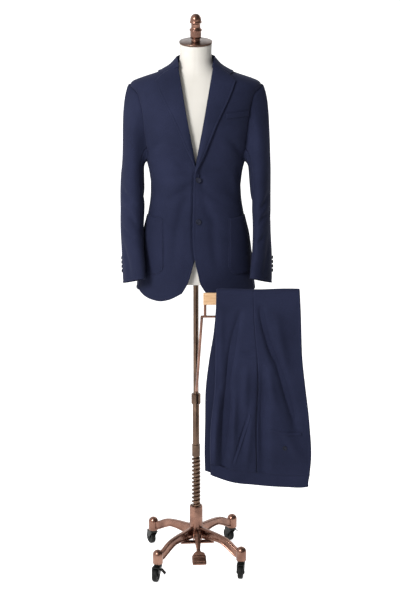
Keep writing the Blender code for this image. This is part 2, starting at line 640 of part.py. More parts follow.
# ---------------------------------------------------------------- pockets and buttons
def patch_pocket(side):
    rows = []
    for height in PATCH_HEIGHTS:
        z = PATCH_BOTTOM_Z + height
        into_corner = max(0.0, PATCH_CORNER - height) / PATCH_CORNER
        pull = PATCH_CORNER_DEG * (1.0 - math.sqrt(max(0.0, 1.0 - into_corner ** 2)))
        start = angle_at(PATCH_FRONT_X, z) + pull
        end = PATCH_SIDE_ANGLE - 0.5 * pull
        row = [body_point(z, start + (end - start) * column / 8, ON_TOP + CLOTH) for column in range(9)]
        rows.append([mirrored(point, side) for point in row])
    return wall(f"jacket_patch_pocket_{side_name(side)}", rows, outward=lambda p: (side, -1.0, 0.0))


def breast_welt():
    rows = []
    for step in range(3):
        row = []
        for column in range(5):
            u = column / 4
            x = WELT_X[0] + (WELT_X[1] - WELT_X[0]) * u
            row.append(on_front(x, WELT_Z + WELT_RISE * u + WELT_HEIGHT * step / 2, ON_TOP + CLOTH))
        rows.append(row)
    return wall("jacket_breast_welt", rows, outward=lambda p: (0.0, -1.0, 0.0))


def button(name, point, normal, radius, thick):
    """A disc with rounded edges and a dished face, lying on the cloth at a point."""
    profile = ((0.0, thick * 0.72), (radius * 0.62, thick * 0.72), (radius * 0.78, thick), (radius * 0.94, thick * 0.86),
               (radius, thick * 0.45), (radius * 0.80, 0.0), (0.0, 0.0))
    made = turned(name, profile, HORN, segments=12, location=point + normal * 0.0006)
    made.rotation_mode = "QUATERNION"
    made.rotation_quaternion = normal.to_track_quat("Z", "X")
    return made


def jacket_buttons():
    for name, z in (("jacket_button_closing", CLOSING_BUTTON_Z), ("jacket_button_lower", LOWER_BUTTON_Z)):
        point = on_front(BUTTON_X, z)
        normal = (on_front(BUTTON_X, z, 0.01) - point).normalized()
        button(name, point, normal, BUTTON_RADIUS, BUTTON_THICK)
    for side in (LEFT, RIGHT):
        table = LEFT_SLEEVE if side == LEFT else RIGHT_SLEEVE
        for k in range(CUFF_BUTTONS):
            z = CUFF_BUTTON_Z + CUFF_BUTTON_PITCH * k
            point = sleeve_ring_point(table, z, CUFF_BUTTON_ANGLE)
            around = sleeve_ring_point(table, z, CUFF_BUTTON_ANGLE + 4) - sleeve_ring_point(table, z,
                                                                                         CUFF_BUTTON_ANGLE - 4)
            normal = Vector((-around.y, around.x, 0.0)).normalized()
            centre = Vector((along(table, z)[0], along(table, z)[1], z))
            if normal.dot(point - centre) < 0:
                normal = -normal
            point = point + normal * 0.0004
            button(f"cuff_button_{side_name(side)}_{k + 1}", mirrored(point, side), mirrored(normal, side),
                   CUFF_BUTTON_RADIUS, CUFF_BUTTON_THICK)


# ---------------------------------------------------------------- trousers
def waist_end_z(x):
    return along(WAIST_END, x)[0]


def trouser_path():
    """Stations of the fold: (part, share) down the front from the bar, over it, and down behind."""
    front = [("front", k / TROUSER_FRONT_ROWS) for k in range(TROUSER_FRONT_ROWS)]
    bend = [("bend", k / TROUSER_BEND_ROWS) for k in range(TROUSER_BEND_ROWS)]
    back = [("back", k / TROUSER_BACK_ROWS) for k in range(TROUSER_BACK_ROWS + 1)]
    return front + bend + back


def folded_point(part, share, x_share, distance, outline, foot=0.0):
    """A point of a layer at a distance from the bar's middle plane. x_share runs over the layer's width."""
    bend_z = BAR_TOP_Z - FOLD_CENTRE_DROP
    if part == "front":
        z_guess = 0.345 + (bend_z - 0.345) * share
        left, right = outline(z_guess)
        x = left + (right - left) * x_share
        low = waist_end_z(x) + foot
        z = low + (bend_z - low) * share
        left, right = outline(z)
        x = left + (right - left) * x_share
        swell = along(TROUSERS, z)[4] * (distance - INNER_LEG_NEAR) / (OUTER_LEG_FAR - INNER_LEG_NEAR)
        return Vector((x, BAR_Y - distance - swell, z))
    left, right = outline(BAR_TOP_Z)
    if part == "bend":
        x = left + (right - left) * x_share
        turn = math.pi * share
        return Vector((x, BAR_Y - distance * math.cos(turn), bend_z + distance * math.sin(turn)))
    narrow = ease(share, 0.0, 0.5)
    left += (HEM_CENTRE_X - HEM_HALF_WIDTH - left) * narrow
    right += (HEM_CENTRE_X + HEM_HALF_WIDTH - right) * narrow
    x = left + (right - left) * x_share
    return Vector((x, BAR_Y + distance, bend_z + (LEG_HEM_Z + foot - bend_z) * share))


def outer_outline(z):
    _, right, left, _, _ = along(TROUSERS, z)
    return left, right


def inner_outline(z):
    left, right, _, _, _ = along(TROUSERS, z)
    return left, right - 0.006


def seam_share(part, share):
    if part != "front":
        return 0.45
    z = 0.36 + (BAR_TOP_Z - 0.36) * share
    left, right = outer_outline(z)
    return (along(TROUSERS, z)[3] - left) / (right - left)


def leg_rows(start_share, end_share, rows_of):
    """Rows of the outer leg's panel: out along the face that shows, round the crease and back along the other."""
    rows = []
    for part, share in rows_of:
        seam = seam_share(part, share)
        near, far = OUTER_LEG_NEAR, OUTER_LEG_FAR
        middle, half = (near + far) / 2, (far - near) / 2
        outer = [seam + (end_share - seam) * k / 4 for k in range(5)]
        gap = start_share
        outer[0] += gap
        row = [folded_point(part, share, s, far, outer_outline, WAISTBAND_HEIGHT) for s in outer[:-1]]
        sign = 1.0 if end_share > 0.5 else -1.0
        for k in range(5):
            bend = math.pi * k / 4
            point = folded_point(part, share, end_share, middle + half * math.cos(bend), outer_outline,
                                 WAISTBAND_HEIGHT)
            point.x += sign * half * (math.sin(bend) - 1.0)
            row.append(point)
        row += [folded_point(part, share, s, near, outer_outline, WAISTBAND_HEIGHT) for s in reversed(outer[:-1])]
        rows.append(row)
    return rows


def trouser_panels():
    path = trouser_path()
    for name, gap, end in (("trouser_front_panel", -0.0008, 0.0), ("trouser_back_panel", 0.0008, 1.0)):
        rows = leg_rows(gap, end, path)
        made = wall(name, rows, thickness=0.0014)
        mesh = made.data
        face = mesh.polygons[0]
        if face.normal.y > 0:
            mesh.flip_normals()


def flat_ring(part, share, near, far, outline, foot, per_face=9):
    """A flattened ring of points round a leg at one station."""
    middle, half = (near + far) / 2, (far - near) / 2
    ring = [folded_point(part, share, 0.02 + 0.96 * k / per_face, far, outline, foot) for k in range(per_face + 1)]
    for k in (1, 2, 3):
        bend = math.pi * k / 4
        point = folded_point(part, share, 1.0, middle + half * math.cos(bend), outline, foot)
        point.x += half * (math.sin(bend) - 1.0)
        ring.append(point)
    ring += [folded_point(part, share, 0.98 - 0.96 * k / per_face, near, outline, foot) for k in range(per_face + 1)]
    for k in (1, 2, 3):
        bend = math.pi * k / 4
        point = folded_point(part, share, 0.0, middle - half * math.cos(bend), outline, foot)
        point.x -= half * (math.sin(bend) - 1.0)
        ring.append(point)
    return ring


def waistband():
    rows = []
    for step in range(4):
        foot = (WAISTBAND_HEIGHT - WAISTBAND_GAP) * step / 3
        rows.append(flat_ring("front", 0.0, OUTER_LEG_NEAR, OUTER_LEG_FAR, outer_outline, foot))
    return wall("trouser_waistband", rows, thickness=0.0014, closed=True, outward=lambda p: (0.0, -1.0, 0.0))


def inner_leg():
    """The hidden leg and the layers inside: one rounded solid along the fold, grooved where its layers meet."""
    rings = []
    for part, share in trouser_path():
        near, far = INNER_LEG_NEAR, INNER_LEG_FAR
        middle = (near + far) / 2
        ring = [folded_point(part, share, 0.01 + 0.98 * k / 4, far, inner_outline, 0.003) for k in range(5)]
        notch = folded_point(part, share, 1.0, middle, inner_outline, 0.003)
        notch.x -= 0.006
        ring.append(notch)
        ring += [folded_point(part, share, 0.99 - 0.98 * k / 4, near, inner_outline, 0.003) for k in range(5)]
        notch = folded_point(part, share, 0.0, middle, inner_outline, 0.003)
        notch.x += 0.006
        ring.append(notch)
        rings.append(ring)
    return loft("trouser_inner_leg", rings, WOOL)


def trouser_front_face(x, z, lift):
    """A point on the face of the outer leg in front of the bar."""
    swell = along(TROUSERS, z)[4]
    return Vector((x, BAR_Y - OUTER_LEG_FAR - swell - lift, z))


def strip(name, ends, width, lift, steps=5, look=WOOL):
    """A narrow welt on the trousers between two points."""
    (x0, z0), (x1, z1) = ends
    across = Vector((z1 - z0, 0.0, x0 - x1)).normalized() * width
    rows = []
    for side in (-0.5, 0.5):
        row = []
        for k in range(steps + 1):
            x, z = x0 + (x1 - x0) * k / steps, z0 + (z1 - z0) * k / steps
            row.append(trouser_front_face(x + across.x * side, z + across.z * side, lift))
        rows.append(row)
    return wall(name, rows, look, thickness=0.0012, outward=lambda p: (0.0, -1.0, 0.0))


def trousers():
    trouser_panels()
    waistband()
    inner_leg()
    strip("trouser_back_pocket_welt", BACK_POCKET, WELT_WIDTH, 0.0024)
    strip("trouser_slash_pocket_welt", SLASH_POCKET, WELT_WIDTH, 0.0024)
    point = trouser_front_face(*POCKET_BUTTON, 0.0008)
    button("trouser_pocket_button", point, Vector((0.0, -1.0, 0.0)), 0.0070, 0.0028)


# ---------------------------------------------------------------- dress form and pole
def form_ring(z, shrink=0.0):
    lean = math.radians(CAP_TILT_DEG) * ease(z, NECK_LEAN_FROM_Z, CAP_Z)
    half_width, front, back, power = along(FORM, z)
    ring = []
    for k in range(FORM_SEGMENTS):
        angle = 360.0 * k / FORM_SEGMENTS
        sine, cosine = math.sin(math.radians(angle)), math.cos(math.radians(angle))
        depth = front if cosine > 0 else back
        x = (half_width - shrink) * signed_power(sine, 2 / power)
        y = -(depth - shrink) * signed_power(cosine, 2 / power)
        ring.append(Vector((x, y * math.cos(lean), z + y * math.sin(lean))))
    return ring


def dress_form():
    levels = [row[0] for row in FORM]
    rings = [form_ring(z) for z in levels]
    foot = form_ring(levels[0], shrink=0.008)
    for point in foot:
        point.z -= 0.003
    return loft("dress_form", [foot] + rings, LINEN)


def tilted(obj, height):
    """Sets a turned piece on the neck, leaning forward with it."""
    lean = math.radians(CAP_TILT_DEG)
    obj.rotation_euler = (lean, 0.0, 0.0)
    obj.location = (0.0, -height * math.sin(lean), CAP_Z + height * math.cos(lean) + SEAM)
    return obj


def cap_and_finial():
    edge = 0.0015
    cap = ((0.0, CAP_THICK), (CAP_RADIUS - edge, CAP_THICK), (CAP_RADIUS, CAP_THICK - edge), (CAP_RADIUS, edge),
           (CAP_RADIUS - edge, 0.0), (0.0, 0.0))
    tilted(turned("neck_cap", cap, COPPER, segments=36), 0.0)
    finial = (
        (0.0000, 0.0820), (0.0070, 0.0805), (0.0125, 0.0760), (0.0160, 0.0690), (0.0168, 0.0610), (0.0182, 0.0585),
        (0.0182, 0.0560), (0.0150, 0.0535), (0.0138, 0.0470), (0.0142, 0.0400), (0.0185, 0.0355), (0.0190, 0.0325),
        (0.0168, 0.0300), (0.0165, 0.0110), (0.0130, 0.0080), (0.0140, 0.0030), (0.0130, 0.0000), (0.0000, 0.0000),
    )
    tilted(turned("finial", finial, COPPER, segments=20), CAP_THICK + SEAM)


def poles():
    top = FORM[0][0] - 0.003 - SEAM
    upper = ((0.0, top), (UPPER_POLE_RADIUS, top), (UPPER_POLE_RADIUS, CLAMP_Z + SEAM), (0.0, CLAMP_Z + SEAM))
    turned("upper_pole", upper, COPPER, segments=24)
    clamp_low = CLAMP_Z - CLAMP_HEIGHT
    clamp = ((LOWER_POLE_RADIUS + SEAM, CLAMP_Z - 0.0006), (CLAMP_RADIUS - 0.001, CLAMP_Z - 0.0006),
             (CLAMP_RADIUS, CLAMP_Z - 0.002), (CLAMP_RADIUS, clamp_low + 0.001), (CLAMP_RADIUS - 0.001, clamp_low),
             (LOWER_POLE_RADIUS + SEAM, clamp_low))
    turned("brace_clamp", clamp, COPPER, segments=24)
    pitch = (THREAD_TOP_Z - COLUMN_FOOT_Z) / THREAD_TURNS
    rings, segments, per_turn = [], 14, 4
    for k in range(THREAD_TURNS * per_turn + 1):
        z = COLUMN_FOOT_Z + pitch * k / per_turn
        ends = min(1.0, 2.0 * k / per_turn, 2.0 * (THREAD_TURNS * per_turn - k) / per_turn)
        ring = []
        for s in range(segments):
            turn = 2 * math.pi * s / segments
            rib = (0.5 + 0.5 * math.cos(2 * math.pi * z / pitch - turn)) ** 1.4
            radius = THREAD_ROOT + (THREAD_CREST - THREAD_ROOT) * rib * ends
            ring.append(Vector((radius * math.cos(turn), radius * math.sin(turn), z)))
        rings.append(ring)
    plain = ((THREAD_TOP_Z + 0.0015, COLLAR_RING_RADIUS), (THREAD_COLLAR_TOP_Z - 0.001, COLLAR_RING_RADIUS),
             (THREAD_COLLAR_TOP_Z, LOWER_POLE_RADIUS), (CLAMP_Z, LOWER_POLE_RADIUS))
    for z, radius in plain:
        rings.append([Vector((radius * math.cos(2 * math.pi * s / segments),
                              radius * math.sin(2 * math.pi * s / segments), z)) for s in range(segments)])
    loft("screw_column", rings, COPPER)


def bar_and_brace():
    wood = joined("trouser_bar", [lambda bm: box_into(bm, (BAR_LEFT_X, BAR_Y - BAR_HALF_THICK, BAR_BOTTOM_Z),
                                                      (BAR_RIGHT_X, BAR_Y + BAR_HALF_THICK, BAR_TOP_Z))], OAK)
    edge = wood.modifiers.new("eased_edges", "BEVEL")
    edge.width, edge.segments = 0.0016, 2
    elbow = (POST_X, BAR_Y, ELBOW_Z)
    post_top = (POST_X + 0.0095, BAR_Y, BAR_BOTTOM_Z - SEAM)
    joined("bar_post", [
        lambda bm: rod_into(bm, (post_top[0], BAR_Y, ELBOW_Z), post_top, POST_RADIUS),
        lambda bm: rod_into(bm, (POST_X - 0.004, BAR_Y, ELBOW_Z), (BAR_RIGHT_X - 0.02, BAR_Y, ELBOW_Z),
                            REST_ROD_RADIUS),
    ], COPPER)
    direction = (Vector((0.0, 0.0, CLAMP_Z - 0.5 * CLAMP_HEIGHT)) - Vector(elbow)).normalized()
    start = Vector(elbow) + direction * (REST_ROD_RADIUS + 0.0012)
    end = Vector((0.0, 0.0, CLAMP_Z - 0.5 * CLAMP_HEIGHT)) - direction * BRACE_STOP
    joined("brace_rod", [lambda bm: rod_into(bm, start, end, 0.0045)], COPPER)


# ---------------------------------------------------------------- base and casters
def hub():
    edge = 0.003
    profile = ((HUB_BORE, HUB_TOP_Z), (HUB_RADIUS - edge, HUB_TOP_Z), (HUB_RADIUS, HUB_TOP_Z - edge),
               (HUB_RADIUS, HUB_FOOT_Z), (HUB_BORE, HUB_FOOT_Z))
    turned("hub", profile, COPPER, segments=32)


def arm_end(degrees):
    angle = math.radians(degrees)
    return Vector((ARM_REACH * math.cos(angle), ARM_REACH * math.sin(angle), 0.0))


def arm(name, degrees):
    """An arched arm with its domed socket, made along +X and turned into place."""
    rings = []
    for k in range(ARM_STEPS + 1):
        reach = ARM_LINE[0][0] + (ARM_LINE[-1][0] - ARM_LINE[0][0]) * k / ARM_STEPS
        top, bottom = along(ARM_LINE, reach)
        wide, soft, lip = ARM_HALF_WIDTH, 0.0018, ARM_FLANGE
        web = wide - ARM_CHANNEL
        right = [(wide - soft, top), (wide, top - soft), (wide, top - lip), (web, top - lip - ARM_CHANNEL),
                 (web, bottom + lip + ARM_CHANNEL), (wide, bottom + lip), (wide, bottom + soft),
                 (wide - soft, bottom)]
        left = [(-y, z) for y, z in reversed(right)]
        rings.append([Vector((reach, y, z)) for y, z in right + left])

    def beam(bm):
        corners = grid_faces(bm, rings, closed=True)
        bm.faces.new(list(reversed(corners[0])))
        bm.faces.new(corners[-1])

    def socket(bm):
        rings_of = []
        levels = [(SOCKET_FOOT_Z, SOCKET_RADIUS - 0.001), (SOCKET_FOOT_Z + 0.001, SOCKET_RADIUS),
                  (SOCKET_SHOULDER_Z, SOCKET_RADIUS)]
        for k in range(1, 5):
            turn = 0.5 * math.pi * k / 5
            levels.append((SOCKET_SHOULDER_Z + SOCKET_RADIUS * math.sin(turn), SOCKET_RADIUS * math.cos(turn)))
        for z, radius in levels:
            rings_of.append([Vector((ARM_REACH + radius * math.cos(2 * math.pi * s / 20),
                                     radius * math.sin(2 * math.pi * s / 20), z)) for s in range(20)])
        corners = grid_faces(bm, rings_of, closed=True)
        bm.faces.new(list(reversed(corners[0])))
        bm.faces.new(corners[-1])

    joined(f"base_arm_{name}", [beam, socket], COPPER, turn=math.radians(degrees))


def cross_plate():
    plate = joined("cross_plate", [lambda bm: box_into(bm, PLATE_LOW, PLATE_HIGH)], COPPER,
                   turn=math.radians(BASE_TURN_DEG))
    edge = plate.modifiers.new("eased_edges", "BEVEL")
    edge.width, edge.segments = 0.0010, 1


def pedal_bracket():
    """Two ears that stand out from the front of the hub on either side of the pedal's knuckle."""
    outer, inner = EAR_OUTER_X, EAR_INNER_X
    back, front = EAR_BACK_Y, EAR_FRONT_Y
    joined("pedal_bracket", [
        lambda bm: box_into(bm, (-outer, back - 0.0030, EAR_LOW_Z), (outer, back, EAR_HIGH_Z)),
        lambda bm: box_into(bm, (-outer, front, EAR_LOW_Z + 0.002), (-inner, back - 0.0010, EAR_HIGH_Z - 0.002)),
        lambda bm: box_into(bm, (inner, front, EAR_LOW_Z + 0.002), (outer, back - 0.0010, EAR_HIGH_Z - 0.002)),
    ], COPPER, turn=math.radians(BASE_TURN_DEG))


def pedal():
    """The foot lever: a knuckle on the hub, a neck, and a ribbed plate to tread on."""
    rings = []
    for half_width, half_height, y, z in PEDAL:
        ring = []
        for k in range(12):
            turn = 2 * math.pi * k / 12
            ring.append(Vector((half_width * signed_power(math.cos(turn), 0.5), y,
                                z + half_height * signed_power(math.sin(turn), 0.7))))
        rings.append(ring)
    loft("foot_pedal", rings, COPPER, location=PEDAL_PIVOT, turn=math.radians(BASE_TURN_DEG))


def caster(name, degrees):
    end = arm_end(degrees)
    heading = math.radians(CASTER_HEADINGS[name])
    place = {"location": end, "turn": heading}
    cheek_in = WHEEL_HALF_WIDTH + 0.0012
    cheek_out = cheek_in + CHEEK_THICK
    top, plate = SOCKET_FOOT_Z - 0.0005, FORK_PLATE_Z

    def disc(bm):
        rod_into(bm, (0.0, 0.0, plate + 0.001), (0.0, 0.0, top), 0.0125, 20)

    def bridge(bm):
        verts = box_into(bm, (-0.0105, -cheek_out, plate), (CASTER_TRAIL + 0.0080, cheek_out, plate + FORK_PLATE_THICK))
        bmesh.ops.bevel(bm, geom=list({e for v in verts for e in v.link_edges}), offset=0.0008, segments=1,
                        affect="EDGES")

    def cheek(sign):
        def make(bm):
            low, high = sorted((sign * cheek_in, sign * cheek_out))
            outline = [(-0.0090, plate + 0.0015), (CASTER_TRAIL + 0.0070, plate + 0.0015)]
            for k in range(7):
                turn = -math.pi * k / 6
                outline.append((CASTER_TRAIL + 0.0068 * math.cos(turn), WHEEL_RADIUS + 0.0068 * math.sin(turn)))
            grid_ends = [[Vector((x, y, z)) for x, z in outline] for y in (low, high)]
            corners = grid_faces(bm, grid_ends, closed=True)
            bm.faces.new(list(reversed(corners[0])))
            bm.faces.new(corners[-1])
        return make

    def boss(sign):
        def make(bm):
            rod_into(bm, (CASTER_TRAIL, sign * (cheek_in - 0.0006), WHEEL_RADIUS),
                     (CASTER_TRAIL, sign * (cheek_out + 0.0012), WHEEL_RADIUS), 0.0036, 12)
        return make

    joined(f"caster_fork_{name}", [disc, bridge, cheek(1), cheek(-1), boss(1), boss(-1)], NYLON, **place)
    tyre = 0.0030
    barrel = ((0.0, WHEEL_HALF_WIDTH), (WHEEL_RADIUS - tyre, WHEEL_HALF_WIDTH),
              (WHEEL_RADIUS - 0.0008, WHEEL_HALF_WIDTH - 0.0016), (WHEEL_RADIUS, WHEEL_HALF_WIDTH - tyre),
              (WHEEL_RADIUS, -WHEEL_HALF_WIDTH + tyre), (WHEEL_RADIUS - 0.0008, -WHEEL_HALF_WIDTH + 0.0016),
              (WHEEL_RADIUS - tyre, -WHEEL_HALF_WIDTH), (0.0, -WHEEL_HALF_WIDTH))
    axle = end + Matrix.Rotation(heading, 3, "Z") @ Vector((CASTER_TRAIL, 0.0, WHEEL_RADIUS))
    wheel = turned(f"caster_wheel_{name}", barrel, RUBBER, segments=24, location=axle)
    wheel.rotation_euler = (math.radians(90.0), 0.0, heading)
    if name in BRAKED:
        brake_lever(name, end, heading, cheek_out)


def brake_lever(name, end, heading, side_y):
    """A tread lever hinged on the outside of the fork's cheek, sloping out and down."""
    side = BRAKED[name]
    pivot = end + Matrix.Rotation(heading, 3, "Z") @ Vector((LEVER_X, side * (side_y + LEVER_CLEARANCE), LEVER_Z))
    rings = []
    for out, z, tall in LEVER:
        half = LEVER_HALF_WIDTH
        rings.append([Vector((-half, side * out, z - tall)), Vector((half, side * out, z - tall)),
                      Vector((half, side * out, z + tall)), Vector((-half, side * out, z + tall))])
    loft(f"brake_lever_{name}", rings, NYLON, location=pivot, turn=heading)


# ---------------------------------------------------------------- the whole object
for which in (LEFT, RIGHT):
    front_panel(which)
    side_panel(which)
    back_panel(which)
    lapel(which)
    sleeves(which)
    patch_pocket(which)
collar()
breast_welt()
jacket_buttons()
trousers()
dress_form()
cap_and_finial()
poles()
bar_and_brace()
hub()
cross_plate()
pedal_bracket()
pedal()
for arm_name, arm_degrees in ARM_ANGLES:
    arm(arm_name, arm_degrees)
    caster(arm_name, arm_degrees)
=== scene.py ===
"""The looks of the two-piece suit, its dress form and its stand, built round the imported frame.

Metres, +Z up; the wearer faces -Y, so the wearer's left is +X. Points are measured from the pole's axis,
which the frame gives. Cloth is thin shells on the same forms as the CAD panels, with seams, turned edges and
creases.
"""
import json
import math

import bmesh
import bpy
import numpy as np
from mathutils import Matrix, Vector


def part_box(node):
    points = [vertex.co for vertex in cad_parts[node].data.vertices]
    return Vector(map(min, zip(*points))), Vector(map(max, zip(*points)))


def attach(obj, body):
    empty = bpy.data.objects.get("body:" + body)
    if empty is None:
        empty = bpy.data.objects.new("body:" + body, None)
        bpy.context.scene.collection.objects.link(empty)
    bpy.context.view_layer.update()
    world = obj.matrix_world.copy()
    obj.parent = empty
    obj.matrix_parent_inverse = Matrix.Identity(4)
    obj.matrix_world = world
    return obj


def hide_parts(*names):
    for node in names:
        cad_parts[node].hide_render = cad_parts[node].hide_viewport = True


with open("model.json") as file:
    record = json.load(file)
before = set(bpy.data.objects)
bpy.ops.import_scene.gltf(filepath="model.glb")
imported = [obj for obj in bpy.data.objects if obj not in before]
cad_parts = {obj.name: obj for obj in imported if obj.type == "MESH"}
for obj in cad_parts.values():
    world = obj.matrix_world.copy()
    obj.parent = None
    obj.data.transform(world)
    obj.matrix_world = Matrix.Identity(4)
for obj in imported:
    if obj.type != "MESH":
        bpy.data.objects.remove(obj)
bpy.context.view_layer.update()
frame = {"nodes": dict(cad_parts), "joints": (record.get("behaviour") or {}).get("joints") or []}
NODES = frame["nodes"]
LOW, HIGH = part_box("upper_pole")
POLE = Vector(((LOW[0] + HIGH[0]) / 2, (LOW[1] + HIGH[1]) / 2, 0.0))

# ---------------------------------------------------------------- sizes, as in the CAD
CLOTH, ON_TOP = 0.0016, 0.0018
SMALLEST_CUT, FILLED_SHARE = 0.0102, 0.98
LEFT, RIGHT = 1, -1
# columns: z, half_width, front, back, power
BODY = (
    (0.895, 0.1890, 0.1180, 0.1160, 2.30),
    (0.960, 0.1820, 0.1155, 0.1130, 2.30),
    (1.030, 0.1730, 0.1110, 0.1080, 2.30),
    (1.100, 0.1630, 0.1060, 0.1010, 2.30),
    (1.160, 0.1485, 0.1030, 0.0940, 2.28),
    (1.230, 0.1395, 0.1015, 0.0890, 2.25),
    (1.290, 0.1425, 0.1060, 0.0920, 2.25),
    (1.345, 0.1560, 0.1130, 0.1000, 2.28),
    (1.400, 0.1680, 0.1180, 0.1080, 2.30),
    (1.450, 0.1760, 0.1170, 0.1110, 2.35),
    (1.500, 0.1840, 0.1090, 0.1100, 2.38),
    (1.535, 0.1905, 0.0970, 0.1030, 2.35),
    (1.553, 0.1985, 0.0890, 0.0970, 2.25),
    (1.565, 0.1890, 0.0830, 0.0920, 2.20),
    (1.577, 0.1600, 0.0770, 0.0860, 2.20),
    (1.589, 0.1240, 0.0700, 0.0790, 2.20),
    (1.601, 0.0930, 0.0630, 0.0700, 2.20),
    (1.613, 0.0690, 0.0560, 0.0610, 2.20),
)
UNDERARM_Z, SHOULDER_TIP_Z, NECK_Z = 1.340, 1.556, 1.613
# columns: z, front_angle, back_angle
ARMHOLE = (
    (1.340, 70.0, 112.0),
    (1.400, 66.0, 115.0),
    (1.450, 64.0, 117.0),
    (1.500, 64.0, 115.0),
    (1.535, 70.0, 108.0),
    (1.556, 89.0, 90.5),
)
SHOULDER_SEAM_ANGLE, FRONT_SIDE_SEAM_ANGLE, BACK_SIDE_SEAM_ANGLE = 90.0, 70.0, 112.0
LEFT_EDGE = (
    (0.900, 0.0640),
    (0.930, 0.0330),
    (0.955, 0.0160),
    (0.990, 0.0065),
    (1.025, -0.0015),
    (1.060, -0.0060),
    (1.200, -0.0070),
    (1.301, -0.0020),
    (1.327, 0.0020),
    (1.450, 0.0242),
    (1.560, 0.0440),
    (1.622, 0.0550),
)
RIGHT_EDGE = (
    (0.900, 0.0640),
    (0.930, 0.0420),
    (0.955, 0.0270),
    (0.990, 0.0145),
    (1.025, 0.0055),
    (1.065, -0.0070),
    (1.120, -0.0150),
    (1.250, -0.0150),
    (1.301, -0.0080),
    (1.327, 0.0020),
    (1.450, 0.0242),
    (1.560, 0.0440),
    (1.622, 0.0550),
)
UNDERLAP_INSET = 0.0036
HEM_RISE = ((0.0, 0.0290), (0.10, 0.0130), (0.24, 0.0040), (0.50, 0.0050), (0.75, 0.0130), (1.0, 0.0260))
HEM_Z, HEM_SIDE_RISE, HEM_FADE_Z = 0.9000, 0.0260, 1.0400

LEFT_BREAK_Z, RIGHT_BREAK_Z, GORGE_Z, LAPEL_CORNER_Z = 1.303, 1.322, 1.6085, 1.5680
LAPEL_EDGE = ((0.00, 0.0010), (0.15, 0.0210), (0.36, 0.0440), (0.55, 0.0650), (0.74, 0.0895), (0.90, 0.1090),
              (1.00, 0.1190))
LEFT_LAPEL_ROLL, RIGHT_LAPEL_ROLL = 0.0080, 0.0035
# columns: t, roll_x, roll_y, roll_z, fall_x, fall_y, fall_z
COLLAR = (
    (0.00, 0.0530, -0.0548, 1.6085, 0.0968, -0.0575, 1.5878),
    (0.12, 0.0552, -0.0385, 1.6232, 0.1090, -0.0390, 1.5950),
    (0.30, 0.0595, -0.0060, 1.6320, 0.1130, 0.0010, 1.5995),
    (0.50, 0.0570, 0.0240, 1.6345, 0.1010, 0.0480, 1.5955),
    (0.75, 0.0340, 0.0490, 1.6400, 0.0620, 0.0790, 1.5870),
    (1.00, 0.0000, 0.0570, 1.6415, 0.0000, 0.0890, 1.5795),
)
COLLAR_STAND_DROP, COLLAR_ROLL_GAP, COLLAR_PRESS = 0.0210, 0.0042, 0.0040

# columns: z, centre_x, centre_y, long_half, short_half, turn_deg
LEFT_SLEEVE = (
    (1.300, 0.1955, -0.0020, 0.0660, 0.0340, 4.0),
    (1.240, 0.1985, -0.0050, 0.0640, 0.0325, 6.0),
    (1.180, 0.2020, -0.0110, 0.0620, 0.0290, 8.0),
    (1.110, 0.2030, -0.0300, 0.0590, 0.0260, 14.0),
    (1.040, 0.2035, -0.0530, 0.0560, 0.0250, 24.0),
    (0.990, 0.2010, -0.0690, 0.0540, 0.0250, 30.0),
    (0.955, 0.1990, -0.0780, 0.0530, 0.0250, 32.0),
)
RIGHT_SLEEVE = (
    (1.300, 0.1930, -0.0020, 0.0660, 0.0350, 4.0),
    (1.240, 0.1945, -0.0050, 0.0640, 0.0370, 6.0),
    (1.180, 0.1955, -0.0110, 0.0620, 0.0370, 8.0),
    (1.110, 0.1965, -0.0330, 0.0590, 0.0340, 14.0),
    (1.040, 0.1935, -0.0600, 0.0560, 0.0290, 24.0),
    (0.990, 0.1900, -0.0760, 0.0540, 0.0270, 30.0),
    (0.955, 0.1885, -0.0830, 0.0530, 0.0270, 32.0),
)
SLEEVE_TOP_Z, SLEEVE_NEXT_Z, CUFF_Z, CUFF_SLOPE = 1.300, 1.250, 0.955, 0.010
CUFF_LIFT, CUFF_TILT, CUFF_FADE_Z = 0.0130, 0.36, 1.100
SLEEVE_FOOT_Z, SLEEVE_TUCK = 1.322, 0.0030
ELBOW_SEAM_DEG, FOREARM_SEAM_DEG = -128.0, 128.0
CUFF_BUTTONS, CUFF_BUTTON_RADIUS, CUFF_BUTTON_THICK = 4, 0.0055, 0.0026
CUFF_BUTTON_Z, CUFF_BUTTON_PITCH, CUFF_BUTTON_ANGLE = 0.992, 0.0120, -58.0

PATCH_TOP_Z, PATCH_BOTTOM_Z, PATCH_FRONT_X, PATCH_SIDE_ANGLE = 1.158, 0.985, 0.1000, 88.0
PATCH_CORNER, PATCH_CORNER_DEG = 0.030, 12.0
WELT_X, WELT_Z, WELT_RISE, WELT_HEIGHT = (0.090, 0.158), 1.459, 0.006, 0.017
BUTTON_RADIUS, BUTTON_THICK, BUTTON_X = 0.0085, 0.0034, 0.0085
CLOSING_BUTTON_Z, LOWER_BUTTON_Z = 1.2780, 1.1500

